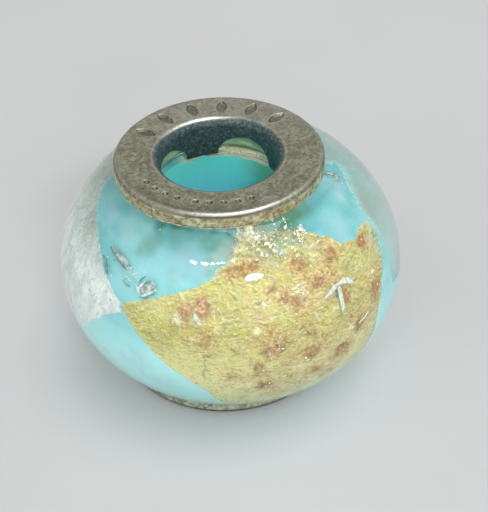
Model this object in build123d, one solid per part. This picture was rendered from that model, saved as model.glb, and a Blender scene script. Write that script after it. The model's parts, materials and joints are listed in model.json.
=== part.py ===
from build123d import *
import math
import os

# European charm bead: an opaque glass ring with metal leaf on it, cased in clear glass, with a silver grommet
# in each end of its bore. Millimetres. The origin is on the bore's axis at the lower flange's outer face, and
# +Z is up along the bore. Turns are degrees about the bore, 0 at the front (-Y) and 90 at the right (+X).

# Silver grommets
bead_height = 10.06  # over both flanges
bore_diameter = 4.8  # clear hole through the tubes
tube_wall = 0.25
flange_diameter = 8.48
flange_thickness = 0.61
outer_edge_radius = 0.22  # rounding of the flange's outer edge
inner_edge_radius = 0.35  # rounding where the flange's face turns into the hole
collar_depth = 0.15  # unbroken tube below the flange
tab_depth = 0.89  # tabs below the collar
arch_count = 4
arch_angle = 57.0  # share of the circle that each arch takes
arch_turn = 61.5  # middle of the first arch, in front of the right side
arch_round = 0.78  # round shoulders at the top of an arch

# Stamped marks in the upper flange: lens-shaped punches at the back, dots at the front
mark_depth = 0.07
mark_ring_diameter = 6.75
petal_length = 0.95
petal_width = 0.44
petal_count = 6
petal_middle_turn = 187.0
petal_step = 21.0
dot_diameter = 0.26
dot_turns = (-58.5, -49.0, -39.5, -30.0, -17.0, -7.5, 2.0, 11.5, 21.0)

# Glass
glass_diameter = 14.0
glass_round_height = 11.2  # height of the full round that the flat ends cut off
glass_offset = 0.3  # the hand-wound glass stands off the bore's axis, to the right
casing_wall = 1.1  # clear glass over the core at the waist
casing_end_wall = 1.55  # the same along the bore, before the ends are cut flat
core_end_round = 0.38  # rounding where the core's ends turn into the bore
tube_clearance = 0.05  # between a tube and the glass round it
seat_clearance = 0.02  # between a flange and the glass end under it

# Metal leaf and flecks between the core and the casing
layer_gap = 0.02
leaf_thickness = 0.05
fleck_thickness = 0.10

# Outlines of the leaf patches: turn about the bore, height as a share of the core's half height
gold_outline = (
    (-45.6, 0.23),
    (-28.2, 0.415),
    (-15.1, 0.525),
    (-8.6, 0.62),
    (-0.5, 0.73),
    (4.1, 0.81),
    (20.6, 0.80),
    (42.9, 0.73),
    (52.7, 0.615),
    (62.5, 0.495),
    (69.7, 0.525),
    (78.0, 0.44),
    (74.2, 0.26),
    (67.0, -0.03),
    (62.9, -0.345),
    (47.8, -0.52),
    (22.7, -0.645),
    (2.1, -0.705),
    (-8.3, -0.70),
    (-21.1, -0.365),
    (-34.0, 0.0),
)
silver_left_outline = (
    (-170.0, 0.84),
    (-150.0, 0.85),
    (-130.0, 0.75),
    (-113.0, 0.61),
    (-89.0, 0.60),
    (-68.6, 0.485),
    (-58.3, 0.405),
    (-47.1, 0.26),
    (-45.5, 0.15),
    (-54.0, 0.01),
    (-66.3, -0.30),
    (-88.0, -0.32),
    (-118.0, -0.12),
    (-138.0, 0.20),
    (-158.0, 0.62),
)
silver_right_outline = (
    (172.0, 0.84),
    (150.0, 0.85),
    (120.0, 0.82),
    (99.0, 0.765),
    (93.5, 0.70),
    (82.6, 0.62),
    (79.7, 0.515),
    (85.0, 0.43),
    (82.2, 0.29),
    (79.0, 0.085),
    (77.6, -0.14),
    (90.0, -0.22),
    (116.0, -0.05),
    (132.0, 0.40),
    (162.0, 0.68),
)

# Copper flecks on the gold leaf: turn, height as a share of the core's half height, diameter
flecks = (
    (-12.6, 0.375, 0.62),
    (-20.1, 0.315, 0.50),
    (-12.5, 0.135, 0.50),
    (5.1, 0.68, 0.46),
    (12.2, 0.65, 0.46),
    (30.4, 0.62, 0.56),
    (45.5, 0.565, 0.60),
    (33.2, 0.445, 0.62),
    (25.1, 0.355, 0.56),
    (46.1, 0.25, 0.50),
    (64.4, 0.435, 0.50),
    (61.5, 0.065, 0.56),
    (25.5, 0.065, 0.44),
    (13.5, -0.055, 0.60),
    (27.5, -0.17, 0.48),
    (49.0, -0.15, 0.50),
    (41.7, -0.28, 0.56),
    (34.8, -0.40, 0.44),
    (9.5, -0.26, 0.46),
    (11.7, -0.485, 0.50),
    (22.2, -0.43, 0.40),
)

bore_radius = bore_diameter / 2
tube_radius = bore_radius + tube_wall
glass_bore_radius = tube_radius + tube_clearance
flange_radius = flange_diameter / 2
tube_depth = flange_thickness + collar_depth + tab_depth
middle = bead_height / 2
glass_half_height = middle - flange_thickness - seat_clearance
core_radius = glass_diameter / 2 - casing_wall
core_half_height = glass_round_height / 2 - casing_end_wall
leaf_base = layer_gap
fleck_base = leaf_base + leaf_thickness + layer_gap
casing_base = fleck_base + fleck_thickness + layer_gap


def spheroid(radius, half_height):
    """A round body of glass, centred where the glass is."""
    half = Plane.XZ * (Ellipse(radius, half_height) & Pos(radius, 0) * Rectangle(2 * radius, 2 * half_height))
    return Pos(glass_offset, 0, middle) * revolve(half, Axis.Z)


def layer(base, thickness):
    """A thin shell that follows the core's surface."""
    outer = spheroid(core_radius + base + thickness, core_half_height + base + thickness)
    return outer - spheroid(core_radius + base, core_half_height + base)


def bored(solid):
    """The solid with the bore cut through it, wide enough for the grommets' tubes."""
    return solid - Pos(0, 0, middle) * Cylinder(glass_bore_radius, 2 * glass_round_height)


def wound_ring(grown=0.0):
    """The core, or the same ring grown all over, with its ends rounded into the bore."""
    ring = spheroid(core_radius + grown, core_half_height + grown)
    ring -= Pos(0, 0, middle) * Cylinder(glass_bore_radius - grown, 2 * glass_round_height)
    edges = ring.faces().filter_by(GeomType.CYLINDER)[0].edges().sort_by(Axis.Z)
    return fillet([edges[0], edges[-1]], core_end_round + grown)


def on_core(turn, height_share):
    """The point of the core's surface at a turn and height, and the way out of the glass there."""
    turned = math.radians(turn)
    reach = math.sqrt(1 - height_share**2)
    x, y, z = reach * math.sin(turned), -reach * math.cos(turned), height_share
    point = Vector(glass_offset + core_radius * x, core_radius * y, middle + core_half_height * z)
    out = Vector(x / core_radius, y / core_radius, z / core_half_height).normalized()
    return point, out


def leaf(outline):
    """A patch of leaf: the part of a thin layer that lies behind its outline, seen from the patch's middle."""
    turns = [turn for turn, _ in outline]
    facing = (min(turns) + max(turns)) / 2
    corners = []
    for turn, height_share in outline:
        reach = core_radius * math.sqrt(1 - height_share**2)
        corners.append((reach * math.sin(math.radians(turn - facing)), core_half_height * height_share))
    face = make_face(Polyline(*corners, close=True))
    ahead = Plane(
        origin=(glass_offset, 0, middle),
        x_dir=(math.cos(math.radians(facing)), math.sin(math.radians(facing)), 0),
        z_dir=(math.sin(math.radians(facing)), -math.cos(math.radians(facing)), 0),
    )
    return layer(leaf_base, leaf_thickness) & extrude(ahead * face, core_radius + casing_wall)


def fleck(turn, height_share, diameter):
    """A flat chip that lies on the leaf."""
    point, out = on_core(turn, height_share)
    reach = fleck_base + fleck_thickness + casing_wall
    chip = Plane(origin=point, z_dir=out) * Cylinder(diameter / 2, 2 * reach)
    return layer(fleck_base, fleck_thickness) & chip


def arch(turn):
    """The gap between two tabs, open at the tube's end and round at its top."""
    width = 2 * tube_radius * math.sin(math.radians(arch_angle / 2))
    turned = math.radians(turn)
    out = Plane(
        origin=(0, 0, bead_height - tube_depth),
        x_dir=(math.cos(turned), math.sin(turned), 0),
        z_dir=(math.sin(turned), -math.cos(turned), 0),
    )
    face = Rectangle(width, 2 * tab_depth)
    shoulders = face.vertices().sort_by(Axis.Y)[-2:]
    face = fillet(shoulders, min(arch_round, 0.45 * width, 0.9 * tab_depth))
    return extrude(out * face, 2 * tube_radius)


def flange_spot(turn):
    """A place on the upper flange's face, in the ring of stamped marks, with its X along the ring."""
    return Pos(0, 0, bead_height) * Rot(0, 0, turn) * Pos(0, -mark_ring_diameter / 2, 0)


def petal():
    """A lens-shaped punch, from two arcs that meet in points."""
    tips = petal_length / 2
    rise = petal_width / 2
    bow = ThreePointArc((0, -tips), (rise, 0), (0, tips))
    other = ThreePointArc((0, tips), (-rise, 0), (0, -tips))
    return extrude(Pos(0, 0, -mark_depth) * make_face([bow, other]), 2 * mark_depth)


def grommet():
    """Flange and tube in one piece, with the arches cut out of the tube's end."""
    top = bead_height
    corners = (
        (bore_radius, top),
        (flange_radius, top),
        (flange_radius, top - flange_thickness),
        (tube_radius, top - flange_thickness),
        (tube_radius, top - tube_depth),
        (bore_radius, top - tube_depth),
    )
    section = make_face(Polyline(*corners, close=True))
    rim = section.vertices().sort_by(Axis.Y)[-2:].sort_by(Axis.X)
    section = fillet(rim[1], min(outer_edge_radius, 0.45 * flange_thickness))
    rim = section.vertices().sort_by(Axis.Y)[-3:].sort_by(Axis.X)
    section = fillet(rim[0], min(inner_edge_radius, 0.9 * flange_thickness))
    ring = revolve(Plane.XZ * section, Axis.Z)
    for number in range(arch_count):
        ring -= arch(arch_turn + number * 360 / arch_count)
    return ring


def stamped(ring):
    """The upper flange with its marks pressed in."""
    for number in range(petal_count):
        turn = petal_middle_turn + (number - (petal_count - 1) / 2) * petal_step
        ring -= flange_spot(turn) * petal()
    for turn in dot_turns:
        ring -= flange_spot(turn) * Cylinder(dot_diameter / 2, 2 * mark_depth)
    return ring


glass_core = wound_ring()
ends = Pos(0, 0, middle) * Box(4 * glass_diameter, 4 * glass_diameter, 2 * glass_half_height)
outside = spheroid(glass_diameter / 2, glass_round_height / 2) & ends
clear_casing = bored(outside - wound_ring(casing_base))
plain_grommet = grommet()

nodes = {
    "glass_core": glass_core,
    "gold_leaf": leaf(gold_outline),
    "silver_leaf_left": leaf(silver_left_outline),
    "silver_leaf_right": leaf(silver_right_outline),
    "copper_flecks": Compound(children=[fleck(*row).solid() for row in flecks]),
    "clear_casing": clear_casing,
    "upper_grommet": stamped(plain_grommet),
    "lower_grommet": mirror(plain_grommet, about=Plane.XY.offset(middle)),
}

os.makedirs("parts", exist_ok=True)
for name, shape in nodes.items():
    export_step(shape, f"parts/{name}.step")
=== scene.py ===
import json
import math
import random

import bmesh
import bpy
import numpy as np
from mathutils import Matrix, Vector, noise
from mathutils.geometry import delaunay_2d_cdt


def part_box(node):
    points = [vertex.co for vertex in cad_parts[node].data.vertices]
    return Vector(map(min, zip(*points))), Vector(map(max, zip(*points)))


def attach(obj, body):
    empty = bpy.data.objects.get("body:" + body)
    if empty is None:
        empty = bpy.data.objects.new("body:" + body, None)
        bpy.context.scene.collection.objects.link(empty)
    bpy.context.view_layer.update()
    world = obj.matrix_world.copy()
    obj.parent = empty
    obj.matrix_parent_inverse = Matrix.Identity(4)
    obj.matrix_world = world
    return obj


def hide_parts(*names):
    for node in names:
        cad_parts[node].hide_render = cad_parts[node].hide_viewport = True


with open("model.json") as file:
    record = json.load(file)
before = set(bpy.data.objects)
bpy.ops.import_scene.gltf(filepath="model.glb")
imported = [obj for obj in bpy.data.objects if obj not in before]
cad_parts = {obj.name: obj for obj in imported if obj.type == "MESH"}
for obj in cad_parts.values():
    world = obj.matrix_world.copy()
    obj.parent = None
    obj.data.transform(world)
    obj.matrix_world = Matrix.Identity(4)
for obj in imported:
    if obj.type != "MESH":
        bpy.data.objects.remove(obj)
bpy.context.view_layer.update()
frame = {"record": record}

# Glass core
# A ring of opaque turquoise glass, wound hot round a rod that is drawn out afterwards and leaves the bore.
# Its ends round over into the bore. Milky streaks run round it, and the bore's wall is a deeper blue.
MM = 0.001
core_low, core_high = (Vector(corner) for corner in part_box("glass_core"))
core_centre = (core_low + core_high) / 2
core_radius = (core_high.x - core_low.x) / 2
core_half_height = 4.05 * MM  # of the full round, before the bore is taken out
end_reach = 0.52 * MM  # how far the rounding at the core's ends reaches, along the end and down the bore
bore_radius = next(m["dims"]["r_mm"] for m in frame["record"]["mounts"] if m["name"] == "bore") * MM
tube_wall = 0.25 * MM
tube_gap = 0.05 * MM
glass_bore = bore_radius + tube_wall + tube_gap
ring_columns = 288
outer_rows = 150
end_rows = 9
wall_rows = 20

turquoise_tones = ((0.15, 0.45, 0.47), (0.20, 0.55, 0.58), (0.33, 0.66, 0.69))
milky_turquoise = (0.34, 0.67, 0.70)
# Painted light: the turquoise turns paler towards the bottom
lit_lower_turquoise = (0.55, 0.98, 1.0)
dark_speck = (0.04, 0.12, 0.14)
cream_tones = ((0.62, 0.53, 0.32), (0.88, 0.80, 0.56), (1.0, 0.97, 0.82))
glass_bleed = (0.25, 0.6, 0.7)  # how far light of each colour wanders in the glass
# Painted light: the bore's wall turns bluer lower down, where light from above falls into it
upper_wall = (0.19, 0.96, 0.90)
lit_lower_wall = (0.22, 0.84, 1.0)
right_wall = (0.18, 0.52, 0.32)
left_wall = (0.20, 0.96, 0.88)
cream_edge = (0.84, 0.80, 0.60)
pale_speck = (0.85, 0.95, 0.92)
wall_grit = (0.22, 0.78, 0.85)

# Where the core isn't plain turquoise: turn, height share, reach in mm, strength
# Murk: murky grey-green patches in the glass, and painted shade in the flange's shadow
murk_and_shade_spots = (
    (-43.5, 0.68, 0.55, 0.8), (-40.6, 0.73, 0.5, 0.7), (-46.0, 0.63, 0.35, 0.7), (-33.0, 0.77, 0.55, 0.7),
    (-24.9, 0.8, 0.45, 0.7), (-8.6, 0.77, 0.55, 0.9), (-4.7, 0.73, 0.4, 0.9), (-13.0, 0.79, 0.45, 0.8),
    (-26.0, 0.55, 0.45, 0.45), (-22.5, 0.58, 0.35, 0.4), (-9.5, 0.68, 0.32, 0.9), (-6.0, 0.72, 0.32, 1.0),
    (-11.0, 0.62, 0.26, 0.7), (-2.5, 0.76, 0.3, 1.0), (0.5, 0.8, 0.3, 1.0), (55.0, 0.6, 0.2, 0.4),
    (-60.0, 0.44, 0.25, 0.8), (-57.0, 0.4, 0.22, 0.8), (77.0, 0.62, 0.25, 0.5), (-70.0, 0.56, 0.3, 0.4),
)
# Painted shade and a painted reflection of the flange, greener, under its right side
right_flange_shade_spots = (
    (22.0, 0.83, 0.5, 0.9), (30.0, 0.815, 0.5, 0.9), (38.0, 0.81, 0.45, 1.0), (46.0, 0.815, 0.4, 1.0),
    (53.0, 0.82, 0.35, 0.8),
)
milk_spots = (
    (-21.0, 0.68, 0.7, 0.7), (-17.0, 0.64, 0.5, 0.7), (-60.0, 0.66, 0.5, 0.5), (60.0, 0.62, 0.8, 0.6),
    (-35.0, 0.52, 0.5, 0.3), (85.0, 0.74, 0.6, 0.7), (-75.0, 0.66, 0.45, 0.6), (-40.0, -0.3, 0.9, 0.5),
    (-30.0, -0.52, 0.8, 0.4), (48.0, 0.66, 0.5, 0.4), (-25.0, 0.57, 0.26, 0.7),
)
# Painted shadow and a painted reflection of the flange, in a dark band along its lower edge
flange_edge_shade_spots = (
    (-45.0, 0.79, 0.35, 0.7), (-36.0, 0.83, 0.35, 0.9), (-27.0, 0.845, 0.35, 1.0), (-18.0, 0.85, 0.35, 1.0),
    (-9.0, 0.845, 0.35, 1.0), (0.0, 0.84, 0.35, 0.9), (45.0, 0.82, 0.3, 0.5), (20.0, 0.86, 0.4, 0.8),
)
blush_spots = (
    (-1.0, 0.775, 0.3, 0.9), (-4.0, 0.74, 0.3, 1.0), (-6.5, 0.705, 0.32, 1.0), (-9.5, 0.67, 0.3, 0.8),
    (-12.0, 0.63, 0.25, 0.5), (77.5, 0.7, 0.32, 0.7), (-90.0, 0.68, 0.3, 0.5), (-97.0, 0.74, 0.3, 0.5),
)
glass_spots = (  # label, colour, how thickly it lies, where
    ("murk and shade", (0.16, 0.35, 0.28), 0.6, murk_and_shade_spots),
    ("milk", (0.42, 0.60, 0.68), 0.7, milk_spots),
    # depth is painted shadow and reflection along the flange's lower edge
    ("depth", (0.045, 0.19, 0.16), 0.9, flange_edge_shade_spots),
    ("blush", (0.60, 0.66, 0.60), 0.5, blush_spots),
    ("right flange shade", (0.15, 0.36, 0.19), 0.8, right_flange_shade_spots),
)


def bore_edge(turned):
    """How far the bore's wall stands from the core's own axis, which isn't the bore's."""
    shift = -core_centre.x * np.sin(turned)
    return shift + np.sqrt(shift**2 - core_centre.x**2 + glass_bore**2)


def on_core(turns, shares, lift=0.0):
    """Points over the core's surface, and the ways out there. turns are degrees from the front to the right,
    and shares are heights as shares of the core's half height. Near the bore they follow the rounded ends."""
    turned = np.radians(np.asarray(turns, float))
    shares = np.asarray(shares, float)
    edge = bore_edge(turned)
    reach = np.maximum(core_radius * np.sqrt(np.clip(1 - shares**2, 0, 1)), edge)
    start = edge + end_reach
    start_height = core_half_height * np.sqrt(1 - (start / core_radius) ** 2)
    slope = start / start_height * (core_half_height / core_radius) ** 2
    corner_height = start_height + slope * end_reach
    along = 1 - np.sqrt(np.clip((reach - edge) / end_reach, 0, 1))
    rounded = ((1 - along) ** 2 * start_height + 2 * along * (1 - along) * corner_height
               + along**2 * (corner_height - end_reach))
    height = np.where(along > 0, np.sign(shares) * rounded, shares * core_half_height)
    x, y = np.sin(turned), -np.cos(turned)
    over = 1 - 2 * along
    out = np.stack([x * reach / core_radius**2 * over, y * reach / core_radius**2 * over,
                    height / core_half_height**2 + 0 * x], -1)
    out /= np.linalg.norm(out, axis=-1, keepdims=True)
    points = np.stack([reach * x, reach * y, height + 0 * x], -1) + np.array(core_centre)
    return points + np.asarray(lift)[..., None] * out, out


def new_piece(name, data):
    """An object in the scene, at the origin."""
    piece = bpy.data.objects.new(name, data)
    bpy.context.scene.collection.objects.link(piece)
    return piece


def mesh_piece(name, points, faces, materials, face_slots=None):
    """A smooth piece in its final place."""
    mesh = bpy.data.meshes.new(name)
    mesh.from_pydata([tuple(p) for p in points], [], [tuple(f) for f in faces])
    for material in materials:
        mesh.materials.append(material)
    if face_slots is not None:
        mesh.polygons.foreach_set("material_index", np.asarray(face_slots, np.int32))
    mesh.polygons.foreach_set("use_smooth", [True] * len(mesh.polygons))
    piece = new_piece(name, mesh)
    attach(piece, "root")
    return piece


def ring_faces(rows, columns):
    """The faces of a closed ring, from a table of points that closes along both its rows and its columns."""
    faces = []
    for row in range(rows):
        here, below = row * columns, (row + 1) % rows * columns
        for column in range(columns):
            beside = (column + 1) % columns
            faces.append((here + column, here + beside, below + beside, below + column))
    return faces


def point_outwards(piece):
    edit = bmesh.new()
    edit.from_mesh(piece.data)
    bmesh.ops.recalc_face_normals(edit, faces=edit.faces)
    edit.to_mesh(piece.data)
    edit.free()


def vertex_places(piece):
    places = np.empty(len(piece.data.vertices) * 3)
    piece.data.vertices.foreach_get("co", places)
    return places.reshape(-1, 3)


def write_values(piece, name, values):
    """Stores a number for each point of a piece, which its material reads by name."""
    piece.data.attributes.new(name, "FLOAT", "POINT").data.foreach_set("value", values)


def paint(piece, name, spots):
    """Writes how strongly each point lies in soft round spots: turn, share, reach in mm, strength."""
    places = vertex_places(piece)
    painted = np.zeros(len(places))
    for turn, share, spread, strength in spots:
        middle, _ = on_core(turn, share)
        away = np.linalg.norm(places - middle, axis=1) / (spread * MM)
        painted = np.maximum(painted, strength * np.exp(-1.2 * away**2))
    write_values(piece, name, painted)


def node(tree, kind, inputs=None, **settings):
    """A node with its settings, and its inputs linked to sockets or set to values."""
    new = tree.nodes.new(kind)
    for key, value in settings.items():
        setattr(new, key, value)
    for key, value in (inputs or {}).items():
        if isinstance(value, bpy.types.NodeSocket):
            tree.links.new(value, new.inputs[key])
        else:
            new.inputs[key].default_value = value
    return new


def math_of(tree, kind, *values):
    return node(tree, "ShaderNodeMath", dict(enumerate(values)), operation=kind).outputs[0]


def vector_of(tree, kind, *values):
    new = node(tree, "ShaderNodeVectorMath", dict(enumerate(values)), operation=kind)
    return new.outputs["Value" if kind == "LENGTH" else "Vector"]


def rising(tree, value, low, high):
    """0 below low, 1 above high and smooth between; the other way round where low is above high."""
    inputs = {"Value": value, "From Min": low, "From Max": high}
    return node(tree, "ShaderNodeMapRange", inputs, interpolation_type="SMOOTHSTEP").outputs[0]


def attribute(tree, name):
    return node(tree, "ShaderNodeAttribute", attribute_name=name).outputs["Fac"]


def millimetres(tree, stretch=(1, 1, 1)):
    """Object coordinates in millimetres, stretched along the axes."""
    place = node(tree, "ShaderNodeTexCoord").outputs["Object"]
    return vector_of(tree, "MULTIPLY", place, [share / MM for share in stretch])


def axes_of(tree):
    """Object coordinates in millimetres, one by one."""
    return node(tree, "ShaderNodeSeparateXYZ", {0: millimetres(tree)}).outputs


def height_of(tree):
    """Height over the core's middle in millimetres."""
    return math_of(tree, "SUBTRACT", axes_of(tree)[2], core_centre.z / MM)


def noise_of(tree, scale, detail=3.0, distortion=0.0, stretch=(1, 1, 1), place=None):
    """Soft noise over a piece, or over the places that are given."""
    if place is None:
        place = millimetres(tree, stretch)
    inputs = {"Vector": place, "Scale": scale, "Detail": detail, "Distortion": distortion}
    return node(tree, "ShaderNodeTexNoise", inputs).outputs["Fac"]


def specks_of(tree, scale, outer, inner):
    """Small round specks, which soften from their inner to their outer size."""
    cells = node(tree, "ShaderNodeTexVoronoi", {"Vector": millimetres(tree), "Scale": scale})
    return rising(tree, cells.outputs["Distance"], outer, inner)


def ramp(tree, factor, places, colours):
    """A colour for each place along a factor."""
    new = node(tree, "ShaderNodeValToRGB", {"Fac": factor})
    elements = new.color_ramp.elements
    while len(elements) < len(places):
        elements.new(0.5)
    for element, place, colour in zip(elements, places, colours):
        element.position = place
        element.color = (*colour, 1)
    return new.outputs["Color"]


def layered(tree, base, *layers, kind="MIX"):
    """Colours laid over a base one after another: the colour, where it lies, and how thickly."""
    for colour, mask, share in layers:
        if share != 1.0:
            mask = math_of(tree, "MULTIPLY", mask, share)
        inputs = {0: mask, 6: base, 7: colour}  # 6 and 7 are the two colours
        for key in (6, 7):
            if isinstance(inputs[key], tuple):
                inputs[key] = (*inputs[key], 1)
        base = node(tree, "ShaderNodeMix", inputs, data_type="RGBA", blend_type=kind).outputs[2]
    return base


def bumped(tree, height, strength, depth):
    """Low relief as a normal, from its height and its depth in millimetres."""
    inputs = {"Height": height, "Strength": strength, "Distance": depth * MM}
    return node(tree, "ShaderNodeBump", inputs).outputs[0]


def new_material(name):
    """A material and its node tree, which holds a Principled shader."""
    material = bpy.data.materials.new(name)
    material.use_nodes = True
    return material, material.node_tree


def set_shader(tree, **inputs):
    """Sets the Principled shader's inputs, named with low lines for spaces."""
    shader = tree.nodes["Principled BSDF"]
    for key, value in inputs.items():
        socket = shader.inputs[key.replace("_", " ")]
        if isinstance(value, bpy.types.NodeSocket):
            tree.links.new(value, socket)
        else:
            socket.default_value = value


def by_bore(tree):
    """How surely a place lies at the back of the bore's upper edge, but not at its far left."""
    across, way_back, _ = axes_of(tree)
    from_axis = vector_of(tree, "LENGTH", millimetres(tree, (1, 1, 0)))
    there = math_of(tree, "MULTIPLY", rising(tree, way_back, 1.5, 2.0), rising(tree, from_axis, 3.8, 3.3))
    there = math_of(tree, "MULTIPLY", there, rising(tree, across, -1.75, -1.25))
    return math_of(tree, "MULTIPLY", there, rising(tree, height_of(tree), 2.0, 2.4))


turquoise, glass_tree = new_material("turquoise glass")
streaks = noise_of(glass_tree, 0.9, 3.0, 0.6, (0.35, 0.35, 1.3))
clouds = noise_of(glass_tree, 0.5, 3.0, 0.4)
mottle = noise_of(glass_tree, 1.6, 4.0, 0.8)
# Painted light makes the core paler towards the bottom
body = layered(glass_tree, ramp(glass_tree, streaks, (0.30, 0.5, 0.72), turquoise_tones),
               (milky_turquoise, rising(glass_tree, clouds, 0.42, 0.72), 1.0),
               (lit_lower_turquoise, rising(glass_tree, height_of(glass_tree), 1.2, -1.4), 0.9))
# Murk, and painted shade and reflection by the flange, are laid over the body here
for label, colour, thickness, _ in glass_spots:
    here = math_of(glass_tree, "MULTIPLY_ADD", mottle, 0.8, attribute(glass_tree, label))
    body = layered(glass_tree, body, (colour, rising(glass_tree, here, 0.45, 1.35), thickness))
drawn_out = noise_of(glass_tree, 1.6, 4.0, 0.6, (1.0, 1.0, 4.0))
body = layered(glass_tree, body, (dark_speck, specks_of(glass_tree, 1.15, 0.045, 0.025), 1.0),
               (ramp(glass_tree, drawn_out, (0.36, 0.5, 0.64), cream_tones), by_bore(glass_tree), 1.0))
set_shader(glass_tree, Base_Color=body, Roughness=0.6, Specular_IOR_Level=0.0, Subsurface_Weight=0.2,
           Subsurface_Radius=glass_bleed, Subsurface_Scale=0.5 * MM)

bore_glass, bore_tree = new_material("turquoise bore wall")
across = axes_of(bore_tree)[0]
cloudy = noise_of(bore_tree, 0.8, 3.0, 0.5)
rightmost = rising(bore_tree, math_of(bore_tree, "MULTIPLY_ADD", cloudy, 1.2, across), 1.3, 2.7)
leftmost = rising(bore_tree, math_of(bore_tree, "MULTIPLY_ADD", cloudy, 1.0, across), -0.9, -2.3)
edge_run = math_of(bore_tree, "MULTIPLY_ADD", cloudy, 0.4, height_of(bore_tree))
topmost = math_of(bore_tree, "MULTIPLY", by_bore(bore_tree), rising(bore_tree, edge_run, 3.20, 3.26))
grit = noise_of(bore_tree, 7.0, 4.0)
# The bluer lower wall is painted light
wall = layered(bore_tree, upper_wall, (lit_lower_wall, rising(bore_tree, height_of(bore_tree), 3.0, 1.2), 1.0),
               (right_wall, rightmost, 0.85), (left_wall, leftmost, 0.7), (cream_edge, topmost, 1.0),
               (pale_speck, specks_of(bore_tree, 1.0, 0.07, 0.03), 1.0),
               (wall_grit, rising(bore_tree, grit, 0.35, 0.7), 0.25))
set_shader(bore_tree, Base_Color=wall, Roughness=math_of(bore_tree, "MULTIPLY_ADD", grit, 0.3, 0.28),
           Specular_IOR_Level=0.4, Subsurface_Weight=0.3, Subsurface_Radius=glass_bleed,
           Subsurface_Scale=0.8 * MM, Normal=bumped(bore_tree, grit, 0.3, 0.02))

column_angles = np.arange(ring_columns) * 2 * math.pi / ring_columns
column_edge = bore_edge(column_angles)
waist_angle = np.arccos((column_edge + end_reach) / core_radius)
outer_shares = np.sin(waist_angle * np.linspace(-1, 1, outer_rows)[:, None])
end_reaches = column_edge + end_reach * (1 - np.linspace(0, 1, end_rows + 1)[1:, None]) ** 2
end_shares = np.sqrt(1 - (end_reaches / core_radius) ** 2)
outer_points, _ = on_core(np.degrees(column_angles), np.vstack([-end_shares[::-1], outer_shares, end_shares]))
down_wall = np.linspace(0, 1, wall_rows + 2)[1:-1, None, None]
wall_points = outer_points[-1] * (1 - down_wall) + outer_points[0] * down_wall
core_points = np.concatenate([outer_points, wall_points])
core_rows = len(core_points)
in_bore = np.repeat(np.arange(core_rows) >= core_rows - wall_rows - 2, ring_columns)
turquoise_ring = mesh_piece("turquoise_ring", core_points.reshape(-1, 3), ring_faces(core_rows, ring_columns),
                            [turquoise, bore_glass], in_bore)
for label, _, _, spots in glass_spots:
    paint(turquoise_ring, label, spots)
point_outwards(turquoise_ring)
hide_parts("glass_core")

# Metal leaf
# Sheets of gold and silver leaf, cut from a book, laid on the hot core and wrinkled as the glass swelled. The
# clear glass over them holds them down. The leaf splits, wears thin at its top and lets the turquoise show.
leaf_lift = 0.015 * MM
leaf_thickness = 0.005 * MM
leaf_spacing = 0.047 * MM  # between the sheet's points
gold_tones = ((0.50, 0.45, 0.14), (0.58, 0.53, 0.16), (0.64, 0.59, 0.21))
# Painted shade and painted light for the two sides of the gold's folds
gold_fold_shading = ((0.19, 0.19, 0.08), (0.84, 0.81, 0.50))  # dark side, light side
under_gold = ((0.18, 0.44, 0.38), (0.34, 0.46, 0.35), (0.50, 0.53, 0.38))  # what worn gold lets through
rust_tones = ((0.38, 0.21, 0.06), (0.58, 0.37, 0.12), (0.78, 0.60, 0.32))
green_gold = (0.33, 0.37, 0.16)
deep_gold = (0.68, 0.58, 0.15)
# Painted light: the gold turns paler towards the bottom
lit_lower_gold = (1.0, 0.93, 0.46)
orange_wash = (0.62, 0.43, 0.19)
haze_and_glint = (1.0, 0.98, 0.64)
edge_gold = (0.72, 0.76, 0.50)
silver_tones = ((0.38, 0.43, 0.38), (0.48, 0.55, 0.49), (0.58, 0.66, 0.60))
# Painted shade and painted light for the two sides of the silver's folds
silver_fold_shading = ((0.19, 0.23, 0.20), (0.92, 0.95, 0.93))
# Painted light: the silver leaf turns whiter towards the bottom
lit_lower_silver = (0.94, 1.0, 0.97)
grey_silver = (0.55, 0.59, 0.54)
warm_silver = (0.56, 0.54, 0.44)
edge_silver = (0.80, 0.88, 0.86)
bore_cream = (0.66, 0.60, 0.39)
sunken_tones = ((0.34, 0.44, 0.39), (0.35, 0.49, 0.45), (0.35, 0.56, 0.53))
# Painted shade and painted light for the two sides of the sunken silver's folds
sunken_fold_shading = ((0.25, 0.36, 0.33), (0.52, 0.70, 0.66))
# Painted light: the sunken silver turns paler towards the bottom
lit_lower_sunken = (0.60, 0.80, 0.77)
sunken_edge = (0.36, 0.68, 0.65)

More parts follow.
